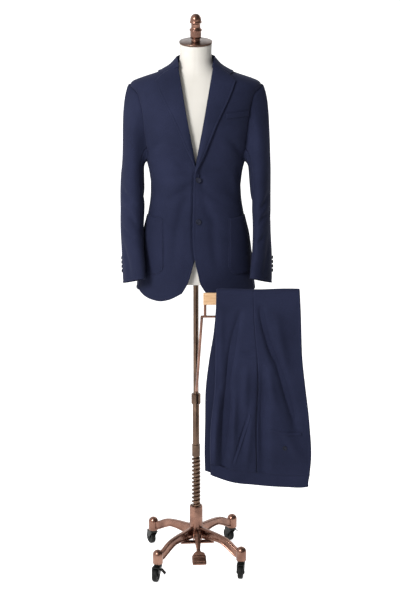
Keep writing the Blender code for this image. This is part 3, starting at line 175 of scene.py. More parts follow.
FORM = (
    (0.952, 0.1440, 0.0900, 0.0880, 2.25),
    (1.040, 0.1420, 0.0930, 0.0910, 2.25),
    (1.120, 0.1360, 0.0900, 0.0840, 2.25),
    (1.200, 0.1270, 0.0880, 0.0760, 2.20),
    (1.260, 0.1270, 0.0900, 0.0760, 2.20),
    (1.330, 0.1380, 0.0970, 0.0850, 2.20),
    (1.400, 0.1480, 0.1020, 0.0930, 2.20),
    (1.460, 0.1540, 0.1000, 0.0950, 2.20),
    (1.510, 0.1600, 0.0900, 0.0920, 2.20),
    (1.540, 0.1560, 0.0780, 0.0830, 2.15),
    (1.560, 0.1300, 0.0690, 0.0730, 2.10),
    (1.576, 0.0980, 0.0610, 0.0640, 2.05),
    (1.592, 0.0720, 0.0540, 0.0560, 2.00),
    (1.612, 0.0540, 0.0490, 0.0480, 2.00),
    (1.640, 0.0480, 0.0470, 0.0450, 2.00),
    (1.676, 0.0485, 0.0485, 0.0485, 2.00),
)
CAP_TILT_DEG, CAP_Z, CAP_RADIUS, CAP_THICK, NECK_LEAN_FROM_Z = 12.0, 1.6765, 0.0500, 0.0060, 1.600

UPPER_POLE_RADIUS, LOWER_POLE_RADIUS, COLLAR_RING_RADIUS = 0.0086, 0.0110, 0.0132
CLAMP_Z, CLAMP_HEIGHT, CLAMP_RADIUS = 0.575, 0.034, 0.0150
THREAD_TOP_Z, THREAD_COLLAR_TOP_Z, COLUMN_FOOT_Z = 0.3625, 0.4036, 0.1230
THREAD_ROOT, THREAD_CREST, THREAD_TURNS = 0.0086, 0.0146, 18
BAR_Y, BAR_LEFT_X, BAR_RIGHT_X = -0.190, 0.0225, 0.302
BAR_TOP_Z, BAR_BOTTOM_Z, BAR_HALF_THICK = 0.9500, 0.9140, 0.0050
FOLD_CENTRE_DROP = 0.0025
POST_X, POST_RADIUS, ELBOW_Z, REST_ROD_RADIUS, BRACE_STOP = 0.0185, 0.0058, 0.8770, 0.0036, 0.0382

# columns: z, left_x, right_x, outer_left_x, seam_x, fullness
TROUSERS = (
    (0.340, 0.0300, 0.3460, 0.0450, 0.1860, 0.0130),
    (0.440, 0.0265, 0.3550, 0.0455, 0.1865, 0.0130),
    (0.545, 0.0280, 0.3470, 0.0480, 0.1860, 0.0110),
    (0.655, 0.0300, 0.3330, 0.0570, 0.1900, 0.0080),
    (0.750, 0.0410, 0.3225, 0.0600, 0.1850, 0.0050),
    (0.825, 0.0530, 0.3180, 0.0605, 0.1780, 0.0020),
    (0.890, 0.0590, 0.3145, 0.0605, 0.1740, 0.0000),
    (0.960, 0.0620, 0.3105, 0.0620, 0.1720, 0.0000),
)
WAIST_END = ((0.03, 0.3870), (0.11, 0.3580), (0.18, 0.3490), (0.28, 0.3415), (0.325, 0.3400), (0.350, 0.3430))
WAISTBAND_HEIGHT, WAISTBAND_GAP = 0.040, -0.0006
INNER_LEG_NEAR, INNER_LEG_FAR, OUTER_LEG_NEAR, OUTER_LEG_FAR = 0.0058, 0.0088, 0.0098, 0.0150
LEG_HEM_Z, HEM_HALF_WIDTH, HEM_CENTRE_X = 0.4750, 0.1020, 0.1860
BACK_POCKET = ((0.221, 0.529), (0.322, 0.514))
SLASH_POCKET = ((0.1640, 0.5780), (0.1180, 0.4200))
WELT_WIDTH, POCKET_BUTTON = 0.009, (0.2720, 0.4700)

HUB_RADIUS, HUB_BORE, HUB_TOP_Z, HUB_FOOT_Z = 0.0215, 0.0156, 0.1930, 0.0830
ARM_REACH = 0.1890
# columns: reach, top_z, bottom_z
ARM_LINE = (
    (0.0222, 0.1215, 0.0845),
    (0.0550, 0.1190, 0.0870),
    (0.0900, 0.1165, 0.0902),
    (0.1080, 0.1140, 0.0892),
    (0.1280, 0.1098, 0.0810),
    (0.1450, 0.1032, 0.0720),
    (0.1600, 0.0945, 0.0640),
    (0.1780, 0.0850, 0.0580),
)
ARM_HALF_WIDTH, ARM_CHANNEL, ARM_FLANGE = 0.0075, 0.0022, 0.0050
SOCKET_RADIUS, SOCKET_FOOT_Z, SOCKET_SHOULDER_Z = 0.0165, 0.0550, 0.0840
ARM_ANGLES = {"front_left": -40.0, "front_right": -130.0, "rear_left": 50.0, "rear_right": 140.0}
WHEEL_RADIUS, WHEEL_HALF_WIDTH = 0.0220, 0.0080
PEDAL_RIBS = 6

# ---------------------------------------------------------------- creases, each in the sizes of its own panel
# Across and up in metres on the panel's face; depth is negative for a trough.
CREASE_GAIN, TROUSER_GAIN = 2.2, 1.3
# columns: across_0, up_0, across_1, up_1, bow, half_width, depth
CREASES = {
    "front_left": (
        (0.006, 1.306, 0.022, 1.262, 0.000, 0.008, -0.0026),
        (0.012, 1.262, 0.090, 1.205, 0.004, 0.012, -0.0022),
        (0.010, 1.286, 0.105, 1.300, -0.006, 0.013, -0.0020),
        (0.020, 1.235, 0.075, 1.120, 0.008, 0.014, -0.0020),
        (0.052, 1.150, 0.066, 1.010, 0.003, 0.015, -0.0022),
        (0.100, 1.400, 0.146, 1.330, -0.006, 0.012, -0.0026),
        (0.112, 1.300, 0.140, 1.215, 0.006, 0.012, 0.0018),
    ),
    "front_right": (
        (0.014, 1.266, 0.085, 1.215, 0.004, 0.012, -0.0022),
        (0.016, 1.300, 0.070, 1.352, 0.004, 0.010, -0.0020),
        (0.008, 1.290, 0.110, 1.288, 0.006, 0.012, -0.0018),
        (0.022, 1.240, 0.060, 1.090, -0.006, 0.016, -0.0024),
        (0.060, 1.130, 0.072, 1.000, 0.004, 0.016, -0.0016),
        (0.100, 1.390, 0.148, 1.345, -0.004, 0.012, -0.0024),
    ),
    "back_left": (
        (0.010, 1.560, 0.100, 1.500, 0.008, 0.016, -0.0022),
        (0.020, 1.290, 0.110, 1.250, 0.006, 0.014, -0.0026),
        (0.030, 1.240, 0.120, 1.215, -0.005, 0.013, -0.0022),
        (0.090, 1.420, 0.125, 1.300, 0.006, 0.014, -0.0026),
        (0.050, 1.150, 0.062, 0.985, 0.004, 0.018, -0.0022),
    ),
    "back_right": (
        (0.012, 1.548, 0.092, 1.508, 0.006, 0.015, -0.0020),
        (0.018, 1.300, 0.100, 1.268, -0.006, 0.014, -0.0024),
        (0.040, 1.232, 0.125, 1.220, 0.006, 0.012, -0.0022),
        (0.086, 1.440, 0.128, 1.320, 0.004, 0.014, -0.0024),
        (0.056, 1.120, 0.070, 0.960, -0.004, 0.018, -0.0020),
    ),
    "side_left": ((-0.010, 1.250, 0.050, 1.236, 0.003, 0.010, -0.0016),),
    "side_right": ((-0.006, 1.262, 0.046, 1.244, -0.003, 0.010, -0.0016),),
    "sleeve_left": (
        (0.030, 1.225, 0.085, 1.180, 0.006, 0.012, -0.0026),
        (0.020, 1.165, 0.082, 1.140, -0.005, 0.011, -0.0028),
        (0.036, 1.105, 0.080, 1.085, 0.004, 0.010, -0.0020),
        (-0.020, 1.480, -0.012, 1.330, 0.005, 0.014, -0.0020),
        (0.012, 1.090, 0.022, 0.985, 0.003, 0.012, -0.0016),
        (-0.060, 1.200, -0.020, 1.150, 0.004, 0.012, -0.0020),
    ),
    "sleeve_right": (
        (0.026, 1.240, 0.082, 1.205, 0.005, 0.012, -0.0026),
        (0.030, 1.180, 0.086, 1.140, -0.006, 0.012, -0.0030),
        (0.022, 1.120, 0.078, 1.104, 0.004, 0.010, -0.0022),
        (-0.016, 1.470, -0.006, 1.310, -0.004, 0.014, -0.0020),
        (0.008, 1.075, 0.018, 0.975, -0.003, 0.012, -0.0018),
        (-0.056, 1.215, -0.018, 1.175, 0.004, 0.012, -0.0020),
    ),
    "under_left": ((0.140, 1.215, 0.180, 1.175, 0.004, 0.010, -0.0022),),
    "under_right": ((0.136, 1.235, 0.176, 1.190, -0.004, 0.010, -0.0022),),
    "trouser_front": (
        (0.1605, 0.578, 0.1145, 0.420, 0.000, 0.0035, -0.0016),
        (0.1330, 0.890, 0.0930, 0.560, 0.010, 0.011, -0.0040),
        (0.1020, 0.640, 0.0830, 0.395, 0.004, 0.014, -0.0062),
        (0.0700, 0.640, 0.0560, 0.400, 0.002, 0.012, 0.0036),
        (0.1180, 0.640, 0.1150, 0.470, 0.002, 0.012, 0.0034),
        (0.1400, 0.772, 0.1800, 0.768, 0.002, 0.006, -0.0014),
        (0.1540, 0.720, 0.1500, 0.580, 0.002, 0.012, 0.0024),
        (0.0760, 0.900, 0.0800, 0.700, 0.003, 0.012, 0.0016),
        (0.1740, 0.600, 0.1560, 0.410, 0.002, 0.011, 0.0024),
    ),
    "trouser_back": (
        (0.1960, 0.905, 0.2350, 0.750, 0.003, 0.010, -0.0046),
        (0.2280, 0.790, 0.3060, 0.530, -0.004, 0.012, -0.0058),
        (0.2040, 0.720, 0.2080, 0.400, 0.003, 0.016, -0.0060),
        (0.2420, 0.880, 0.2780, 0.720, 0.004, 0.014, 0.0024),
        (0.2160, 0.720, 0.2500, 0.590, 0.004, 0.014, 0.0024),
        (0.2600, 0.560, 0.3240, 0.430, 0.006, 0.016, 0.0020),
        (0.2120, 0.800, 0.2300, 0.380, 0.000, 0.050, 0.0022),
        (0.1850, 0.900, 0.1700, 0.760, 0.000, 0.040, 0.0010),
    ),
}


# ---------------------------------------------------------------- numbers
def along(table, key):
    """The rows of a table at values of its first column, on a smooth curve through them."""
    rows = np.array(table, float)
    rows = rows[np.argsort(rows[:, 0])]
    keys, slopes = rows[:, 0], np.gradient(rows, rows[:, 0], axis=0)
    key = np.clip(np.asarray(key, float), keys[0], keys[-1])
    i = np.clip(np.searchsorted(keys, key, side="right") - 1, 0, len(keys) - 2)
    step = (keys[i + 1] - keys[i])[..., None]
    t = (key - keys[i])[..., None] / step
    made = (
        rows[i] * (1 + 2 * t) * (1 - t) ** 2
        + rows[i + 1] * t * t * (3 - 2 * t)
        + slopes[i] * step * t * (1 - t) ** 2
        - slopes[i + 1] * step * t * t * (1 - t)
    )
    return np.moveaxis(made[..., 1:], -1, 0)


def ease(value, low, high):
    t = np.clip((np.asarray(value, float) - low) / (high - low), 0.0, 1.0)
    return t * t * (3 - 2 * t)


def signed_power(value, power):
    return np.sign(value) * np.abs(value) ** power


def stack(x, y, z):
    return np.stack(np.broadcast_arrays(x, y, z), axis=-1)


def section_point(table, z, degrees):
    half_width, front, back, power = along(table, z)
    sine, cosine = np.sin(np.radians(degrees)), np.cos(np.radians(degrees))
    depth = np.where(cosine > 0, front, back)
    return stack(half_width * signed_power(sine, 2 / power), -depth * signed_power(cosine, 2 / power), z)


def angle_at(x, z):
    half_width, _, _, power = along(BODY, z)
    ratio = np.minimum(np.abs(x) / half_width, 1.0)
    return np.sign(x) * np.degrees(np.arcsin(ratio ** (power / 2)))


def unit(vectors):
    return vectors / np.maximum(np.linalg.norm(vectors, axis=-1, keepdims=True), 1e-9)


def body_point(z, degrees, lift=0.0):
    z, degrees = np.broadcast_arrays(np.asarray(z, float), degrees)
    point = section_point(BODY, z, degrees)
    across = section_point(BODY, z, degrees + 1.0) - section_point(BODY, z, degrees - 1.0)
    above = section_point(BODY, np.minimum(z + 0.004, NECK_Z), degrees)
    upward = above - section_point(BODY, z - 0.004, degrees)
    return point + np.asarray(lift)[..., None] * unit(np.cross(across, upward))


def on_front(x, z, lift=0.0):
    return body_point(z, angle_at(x, z), lift)


def to_side(points, side):
    return points * np.array((side, 1.0, 1.0))


def close_ends(count):
    """Shares from 0 to 1, closer together at both ends, where seams and turned edges are."""
    even = np.linspace(0.0, 1.0, count)
    return 0.45 * even + 0.55 * (0.5 - 0.5 * np.cos(math.pi * even))


# ---------------------------------------------------------------- materials
def nodes_of(material):
    return material.node_tree.nodes, material.node_tree.links


def new_material(name, roughness, metallic=0.0, **constants):
    made = bpy.data.materials.new(name)
    made.use_nodes = True
    shader = made.node_tree.nodes["Principled BSDF"]
    shader.inputs["Roughness"].default_value = roughness
    shader.inputs["Metallic"].default_value = metallic
    for key, value in constants.items():
        shader.inputs[key.replace("_", " ")].default_value = value
    return made, shader


def noise(material, scale, detail, vector, roughness=0.5):
    nodes, links = nodes_of(material)
    node = nodes.new("ShaderNodeTexNoise")
    node.inputs["Scale"].default_value = scale
    node.inputs["Detail"].default_value = detail
    node.inputs["Roughness"].default_value = roughness
    links.new(vector, node.inputs["Vector"])
    return node.outputs["Fac"]


def ramp(material, value, stops):
    nodes, links = nodes_of(material)
    node = nodes.new("ShaderNodeValToRGB")
    while len(node.color_ramp.elements) < len(stops):
        node.color_ramp.elements.new(0.5)
    for element, (place, colour) in zip(node.color_ramp.elements, stops):
        element.position = place
        element.color = (*colour, 1.0)
    links.new(value, node.inputs["Fac"])
    return node.outputs["Color"]


def blend_colour(material, one, two, amount, mode="MULTIPLY"):
    nodes, links = nodes_of(material)
    node = nodes.new("ShaderNodeMix")
    node.data_type = "RGBA"
    node.blend_type = mode
    node.inputs["Factor"].default_value = amount
    links.new(one, node.inputs["A"])
    links.new(two, node.inputs["B"])
    return node.outputs["Result"]


def arithmetic(material, operation, one, two):
    nodes, links = nodes_of(material)
    node = nodes.new("ShaderNodeMath")
    node.operation = operation
    for socket, value in zip(node.inputs, (one, two)):
        if isinstance(value, (int, float)):
            socket.default_value = value
        else:
            links.new(value, socket)
    return node.outputs["Value"]


def bump(material, shader, height, strength, distance):
    nodes, links = nodes_of(material)
    node = nodes.new("ShaderNodeBump")
    node.inputs["Strength"].default_value = strength
    node.inputs["Distance"].default_value = distance
    links.new(height, node.inputs["Height"])
    links.new(node.outputs["Normal"], shader.inputs["Normal"])


def coordinates(material, output):
    nodes, _ = nodes_of(material)
    return nodes.new("ShaderNodeTexCoord").outputs[output]


def bands(material, vector, scale, direction):
    nodes, links = nodes_of(material)
    node = nodes.new("ShaderNodeTexWave")
    node.wave_type = "BANDS"
    node.bands_direction = direction
    node.inputs["Scale"].default_value = scale
    node.inputs["Distortion"].default_value = 0.4
    node.inputs["Detail"].default_value = 1.0
    links.new(vector, node.inputs["Vector"])
    return node.outputs["Fac"]


def wool(name, dark, middle, light):
    """Fine worsted twill: the lie of the twill and each yarn in the cloth's own metres, and a soft mottle."""
    made, shader = new_material(name, 0.86, Sheen_Weight=0.06, Sheen_Roughness=0.40, Specular_IOR_Level=0.14)
    shader.inputs["Sheen Tint"].default_value = (0.55, 0.62, 0.95, 1.0)
    links = nodes_of(made)[1]
    cloth = coordinates(made, "UV")
    space = coordinates(made, "Object")
    twill = bands(made, cloth, 260.0, "DIAGONAL")
    yarn = bands(made, cloth, 520.0, "X")
    mottle = ramp(made, noise(made, 9.0, 3.0, space), ((0.30, dark), (0.52, middle), (0.78, light)))
    heather = ramp(made, noise(made, 900.0, 2.0, space), ((0.35, (0.80,) * 3), (0.65, (1.14,) * 3)))
    weave = ramp(made, twill, ((0.0, (0.86,) * 3), (1.0, (1.08,) * 3)))
    colour = blend_colour(made, blend_colour(made, mottle, heather, 1.0), weave, 0.8)
    links.new(colour, shader.inputs["Base Color"])
    bump(made, shader, arithmetic(made, "ADD", twill, arithmetic(made, "MULTIPLY", yarn, 0.5)), 0.22, 0.0002)
    return made


def jersey():
    """The form's cover: fine cream knit, its tone mottled at random, a little warmer where darker."""
    made, shader = new_material("cream_jersey", 0.78, Sheen_Weight=0.15, Specular_IOR_Level=0.3)
    links = nodes_of(made)[1]
    space = coordinates(made, "Object")
    tone = ramp(made, noise(made, 6.0, 3.0, space), ((0.3, (0.66, 0.63, 0.57)), (0.7, (0.75, 0.72, 0.67))))
    links.new(tone, shader.inputs["Base Color"])
    rib = bands(made, space, 420.0, "X")
    wale = bands(made, space, 560.0, "Z")
    bump(made, shader, arithmetic(made, "MULTIPLY", rib, wale), 0.25, 0.0003)
    return made


def copper(name, dark, middle, light, roughness):
    """Burnished antique copper, mottled at random between darker patina and brighter rubbed metal."""
    made, shader = new_material(name, roughness, 1.0, Coat_Weight=0.35, Coat_Roughness=0.12)
    nodes, links = nodes_of(made)
    space = coordinates(made, "Object")
    patina = noise(made, 22.0, 3.0, space, 0.50)
    links.new(ramp(made, patina, ((0.30, dark), (0.52, middle), (0.76, light))), shader.inputs["Base Color"])
    rough = nodes.new("ShaderNodeMapRange")
    rough.inputs["To Min"].default_value = roughness - 0.08
    rough.inputs["To Max"].default_value = roughness + 0.16
    links.new(noise(made, 90.0, 3.0, space), rough.inputs["Value"])
    links.new(rough.outputs["Result"], shader.inputs["Roughness"])
    bump(made, shader, noise(made, 420.0, 3.0, space), 0.10, 0.0004)
    return made


def oak():
    """Pale wood with its grain running along the bar."""
    made, shader = new_material("pale_wood", 0.42, Coat_Weight=0.2, Coat_Roughness=0.25)
    nodes, links = nodes_of(made)
    mapping = nodes.new("ShaderNodeMapping")
    mapping.inputs["Scale"].default_value = (2.2, 30.0, 30.0)
    links.new(coordinates(made, "Object"), mapping.inputs["Vector"])
    grain = noise(made, 9.0, 6.0, mapping.outputs["Vector"], 0.65)
    stops = ((0.28, (0.42, 0.23, 0.11)), (0.48, (0.62, 0.38, 0.20)), (0.72, (0.72, 0.48, 0.28)))
    links.new(ramp(made, grain, stops), shader.inputs["Base Color"])
    bump(made, shader, grain, 0.18, 0.0005)
    return made


def plain_finish(name, colour, lighter, roughness, grain_scale):
    """Moulded plastic, rubber or horn: a close mottle and a fine grain."""
    made, shader = new_material(name, roughness, Specular_IOR_Level=0.22)
    links = nodes_of(made)[1]
    space = coordinates(made, "Object")
    mottle = ramp(made, noise(made, 60.0, 4.0, space), ((0.35, colour), (0.7, lighter)))
    links.new(mottle, shader.inputs["Base Color"])
    bump(made, shader, noise(made, grain_scale, 2.0, space), 0.15, 0.0002)
    return made


WOOL = wool("navy_wool", (0.0122, 0.0152, 0.0380), (0.0152, 0.0186, 0.0455), (0.0182, 0.0220, 0.0530))
THREAD = plain_finish("navy_thread", (0.016, 0.018, 0.042), (0.028, 0.032, 0.070), 0.6, 2400.0)
HORN = plain_finish("dark_horn", (0.005, 0.0065, 0.016), (0.010, 0.0125, 0.028), 0.58, 700.0)
CREAM = jersey()
COPPER = copper("antique_copper", (0.15, 0.072, 0.050), (0.255, 0.130, 0.092), (0.36, 0.195, 0.140), 0.24)
# The pole's copper is the same copper painted darker, a painted shade for the dark surroundings the pole
# reflects, and a little more golden in tint.
POLE_COPPER_PAINTED_SHADE = copper("pole_copper_painted_shade", (0.070, 0.040, 0.026), (0.130, 0.078, 0.050), (0.200, 0.122, 0.080), 0.26)
CAP_COPPER = copper("cap_copper", (0.085, 0.048, 0.034), (0.15, 0.088, 0.064), (0.21, 0.13, 0.095), 0.30)
WOOD = oak()
RUBBER = plain_finish("black_rubber", (0.005, 0.0055, 0.005), (0.011, 0.012, 0.011), 0.55, 1500.0)
NYLON = plain_finish("black_nylon", (0.005, 0.006, 0.0055), (0.012, 0.013, 0.012), 0.34, 1100.0)


# ---------------------------------------------------------------- making pieces
def place(name, mesh, look, body, stands_for=(), sharp=35.0, matrix=None):
    """A piece at the pole's place, riding its body and standing for its CAD nodes."""
    mesh.shade_smooth()
    mesh.set_sharp_from_angle(angle=math.radians(sharp))
    mesh.materials.append(look)
    made = bpy.data.objects.new(f"{name}_visual", mesh)
    bpy.context.scene.collection.objects.link(made)
    moved = Matrix.Translation(POLE)
    mesh.transform(moved @ matrix if matrix is not None else moved)
    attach(made, body)
    if stands_for:
        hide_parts(*stands_for)
    return made


def mesh_of(name, points, faces, uvs=None):
    mesh = bpy.data.meshes.new(name)
    mesh.from_pydata([tuple(p) for p in points], [], [tuple(int(i) for i in face) for face in faces])
    if uvs is not None:
        layer = mesh.uv_layers.new(name="cloth")
        corners = np.empty(len(mesh.loops), int)
        mesh.loops.foreach_get("vertex_index", corners)
        layer.data.foreach_set("uv", np.asarray(uvs)[corners].ravel())
    mesh.update()
    return mesh


def grid_quads(rows, columns, closed=False):
    index = np.arange(rows * columns).reshape(rows, columns)
    across = np.concatenate([index, index[:, :1]], axis=1) if closed else index
    corners = [across[:-1, :-1], across[:-1, 1:], across[1:, 1:], across[1:, :-1]]
    return np.stack(corners, axis=-1).reshape(-1, 4)


def lengths(grid, axis):
    """How far each point is along its row or column, in metres."""
    steps = np.linalg.norm(np.diff(grid, axis=axis), axis=-1)
    start = np.zeros_like(np.take(steps, [0], axis=axis))
    return np.concatenate([start, np.cumsum(steps, axis=axis)], axis=axis)


def grid_normals(grid):
    return unit(np.cross(np.gradient(grid, axis=1), np.gradient(grid, axis=0)))


def crease_field(creases, across, up):
    """How far the creases push the surface out at each point."""
    across, up = np.broadcast_arrays(across, up)
    field = np.zeros_like(across)
    for across_0, up_0, across_1, up_1, bow, half_width, depth in creases:
        run, rise = across_1 - across_0, up_1 - up_0
        length = math.hypot(run, rise)
        share = ((across - across_0) * run + (up - up_0) * rise) / length ** 2
        inside = np.clip(share, 0.0, 1.0)
        aside = ((across - across_0) * rise - (up - up_0) * run) / length - bow * 4 * inside * (1 - inside)
        beyond = (share - inside) * length
        fade = np.sin(math.pi * np.clip(0.08 + 0.84 * inside, 0, 1)) ** 0.8
        field += CREASE_GAIN * depth * fade * np.exp(-(aside / half_width) ** 2 - (beyond / half_width) ** 2)
    return field


def border_field(kind, distance):
    """The relief beside a border: a turned edge swells and is pinned down by its stitch; a seam sinks."""
    if kind == "edge":
        swell = 0.0007 * np.exp(-((distance - 0.0025) / 0.0026) ** 2)
        return swell - 0.0005 * np.exp(-((distance - 0.0068) / 0.0013) ** 2)
    if kind == "armhole":
        return -0.0030 * np.exp(-(distance / 0.0050) ** 2)
    if kind == "line":
        return -0.0004 * np.exp(-(distance / 0.0016) ** 2)
    if kind == "seam":
        sunk = -0.0009 * np.exp(-(distance / 0.0022) ** 2)
        return sunk + 0.0003 * np.exp(-((distance - 0.005) / 0.003) ** 2)
    return np.zeros_like(distance)


def relieved(grid, borders, creases=(), across=None, up=None, ripple=0.00035, seed=0.0):
    """The grid with its creases, the relief of its borders and the soft unevenness of pressed cloth."""
    wide, tall = lengths(grid, 1), lengths(grid, 0)
    normals = grid_normals(grid)
    field = border_field(borders[0], wide) + border_field(borders[1], wide[:, -1:] - wide)
    field = field + border_field(borders[2], tall) + border_field(borders[3], tall[-1:] - tall)
    if creases:
        field = field + crease_field(creases, across, up)
    a, b = (grid[..., 0] + grid[..., 1]) * 21.0 + seed, grid[..., 2] * 17.0 - seed
    field = field + ripple * (np.sin(a + 1.7 * np.sin(b)) + np.sin(1.9 * b + 1.3 * np.sin(1.6 * a)))
    return grid + normals * field[..., None]


def flat_size(grid):
    """Width, length and area measured on the finished grid, creases included, in place of a drafted cut.

    No side is given as less than SMALLEST_CUT, and the area as no more than FILLED_SHARE of the rectangle.
    """
    wide, tall = lengths(grid, 1)[:, -1].max(), lengths(grid, 0)[-1].max()
    one, two = np.diff(grid, axis=1)[:-1], np.diff(grid, axis=0)[:, :-1]
    area = np.linalg.norm(np.cross(one, two), axis=-1).sum()
    wide, tall = max(float(wide), SMALLEST_CUT), max(float(tall), SMALLEST_CUT)
    return (round(wide, 3), round(tall, 3)), round(min(float(area), FILLED_SHARE * wide * tall), 4)


def cloth(name, grid, outward, held="hung", rests_on=(), thickness=CLOTH, stands_for=None, body="column",
          look=None):
    """A thin shell of wool through a grid of points, with the size of the sheet measured on that grid."""
    rows, columns = grid.shape[:2]
    faces = grid_quads(rows, columns)
    middle = (rows // 2, columns // 2)
    if grid_normals(grid)[middle] @ np.asarray(outward, float) < 0:
        faces = faces[:, ::-1]
    uvs = np.stack([lengths(grid, 1), lengths(grid, 0)], axis=-1).reshape(-1, 2)
    mesh = mesh_of(name, grid.reshape(-1, 3), faces, uvs)
    made = place(name, mesh, look or WOOL, body, stands_for or (name,))
    shell = made.modifiers.new("cloth", "SOLIDIFY")
    shell.thickness = thickness
    shell.offset = -1.0
    shell.use_rim = True
    flat, area = flat_size(grid)
    list(rests_on)
    return made


def ring_solid(name, rings, look, body, stands_for=None, sharp=35.0, matrix=None):
    """A closed solid through rings of points, with flat ends."""
    rings = np.asarray(rings, float)
    rows, columns = rings.shape[:2]
    faces = [tuple(face) for face in grid_quads(rows, columns, closed=True)]
    faces.append(tuple(range(columns - 1, -1, -1)))
    faces.append(tuple(range((rows - 1) * columns, rows * columns)))
    bm = bmesh.new()
    corners = [bm.verts.new(p) for p in rings.reshape(-1, 3)]
    for face in faces:
        bm.faces.new([corners[i] for i in face])
    bmesh.ops.recalc_face_normals(bm, faces=bm.faces)
    mesh = bpy.data.meshes.new(name)
    bm.to_mesh(mesh)
    bm.free()
    return place(name, mesh, look, body, (name,) if stands_for is None else stands_for, sharp, matrix)


def turned(name, profile, look, body, segments=72, stands_for=None, matrix=None, smooth=0):
    """A turned solid from a profile of (radius, z), softened between its points when smooth is set."""
    points = np.asarray(profile, float)
    if smooth:
        shares = np.linspace(0, len(points) - 1, (len(points) - 1) * smooth + 1)
        table = np.column_stack([np.arange(len(points)), points])
        points = np.stack(along(table, shares), axis=-1)
        points[:, 0] = np.maximum(points[:, 0], 0.0)
    turns = np.linspace(0, 2 * math.pi, segments, endpoint=False)
    inner = points[(points[:, 0] > 1e-6)]
    rings = [[(r * math.cos(a), r * math.sin(a), z) for a in turns] for r, z in inner]
    return ring_solid(name, rings, look, body, stands_for, 32.0, matrix)


def joined_mesh(name, parts):
    """One mesh of several primitive makers, each run on the same bmesh."""
    bm = bmesh.new()
    for make in parts:
        make(bm)
    mesh = bpy.data.meshes.new(name)
    bm.to_mesh(mesh)
    bm.free()
    return mesh


def rod(start, end, radius, segments=28):
    def make(bm):
        one, two = Vector(start), Vector(end)
        line = two - one
        where = Matrix.Translation((one + two) / 2) @ line.to_track_quat("Z", "Y").to_matrix().to_4x4()
        bmesh.ops.create_cone(bm, cap_ends=True, segments=segments, radius1=radius, radius2=radius,
                              depth=line.length, matrix=where)
    return make


def show_cad(look, *names):
    """CAD nodes that are shown as they are, with a finish of their own."""
    for name in names:
        NODES[name].data.materials.clear()
        NODES[name].data.materials.append(look)


# ---------------------------------------------------------------- jacket body
def side_name(side):
    return "left" if side == LEFT else "right"


def hem_level(z, rise):
    return z + rise * (1.0 - ease(z, HEM_Z, HEM_FADE_Z))


def armhole_angles(z):
    front, back = along(ARMHOLE, z)
    front = np.where(z >= SHOULDER_TIP_Z, SHOULDER_SEAM_ANGLE, front)
    front = np.where(z <= UNDERARM_Z, FRONT_SIDE_SEAM_ANGLE, front)
    back = np.where(z >= SHOULDER_TIP_Z, SHOULDER_SEAM_ANGLE, back)
    back = np.where(z <= UNDERARM_Z, BACK_SIDE_SEAM_ANGLE, back)
    return front, back


def seam_angle(z, gap=0.0005):
    return np.degrees(0.5 * gap / along(BODY, z)[0])


def levels(low, high, count):
    return low + (high - low) * close_ends(count)


def front_panel(side):
    name = f"jacket_front_{side_name(side)}"
    edge = LEFT_EDGE if side == LEFT else RIGHT_EDGE
    u = close_ends(64)[None, :]
    z = hem_level(levels(HEM_Z, NECK_Z, 170)[:, None], along(HEM_RISE, u)[0])
    start = angle_at(along(edge, z)[0], z)
    end = armhole_angles(z)[0] - seam_angle(z)
    grid = body_point(z, start + (end - start) * u)
    if side == RIGHT:
        lap = 1.0 - ease(grid[..., 0], 0.020, 0.070)
        grid[..., 1] += UNDERLAP_INSET * lap * (1.0 - ease(z, 1.330, 1.380))
        beside = (grid[..., 0] + along(LEFT_EDGE, z)[0] - 0.0015) / 0.0042
        grid[..., 1] += 0.0042 * np.exp(-beside ** 2) * (1.0 - ease(z, 1.296, 1.306)) * ease(z, 0.985, 1.02)
    creases = CREASES[f"front_{side_name(side)}"]
    across, up = grid[..., 0], grid[..., 2]
    grid = relieved(grid, ("edge", "seam", "edge", "seam"), creases, across, up, seed=1.0 + side)
    to_seam = lengths(grid, 1)[:, -1:] - lengths(grid, 1)
    valley = border_field("armhole", to_seam) * ease(z, 1.33, 1.37) * (1.0 - ease(z, 1.49, 1.54))
    grid = grid + grid_normals(grid) * valley[..., None]
    return cloth(name, to_side(grid, side), (0.0, -1.0, 0.0), rests_on=("dress_form",))


def side_panel(side):
    name = f"jacket_side_{side_name(side)}"
    u = close_ends(26)[None, :]
    z = hem_level(levels(HEM_Z, UNDERARM_Z, 110)[:, None], HEM_SIDE_RISE) + 0.0 * u
    start, end = FRONT_SIDE_SEAM_ANGLE + seam_angle(z), BACK_SIDE_SEAM_ANGLE - seam_angle(z)
    grid = body_point(z, start + (end - start) * u)
    creases = CREASES[f"side_{side_name(side)}"]
    borders = ("seam", "seam", "edge", "seam")
    grid = relieved(grid, borders, creases, grid[..., 1], grid[..., 2], seed=3.0 + side)
    return cloth(name, to_side(grid, side), (side, 0.0, 0.0), rests_on=("dress_form",))


def back_panel(side):
    name = f"jacket_back_{side_name(side)}"
    u = close_ends(56)[None, :]
    z = hem_level(levels(HEM_Z, NECK_Z, 160)[:, None], HEM_SIDE_RISE) + 0.0 * u
    start, end = armhole_angles(z)[1] + seam_angle(z), 180.0 - seam_angle(z)
    grid = body_point(z, start + (end - start) * u)
    creases = CREASES[f"back_{side_name(side)}"]
    borders = ("seam", "seam", "edge", "seam")
    grid = relieved(grid, borders, creases, grid[..., 0], grid[..., 2], seed=5.0 + side)
    return cloth(name, to_side(grid, side), (0.0, 1.0, 0.0), rests_on=("dress_form",))


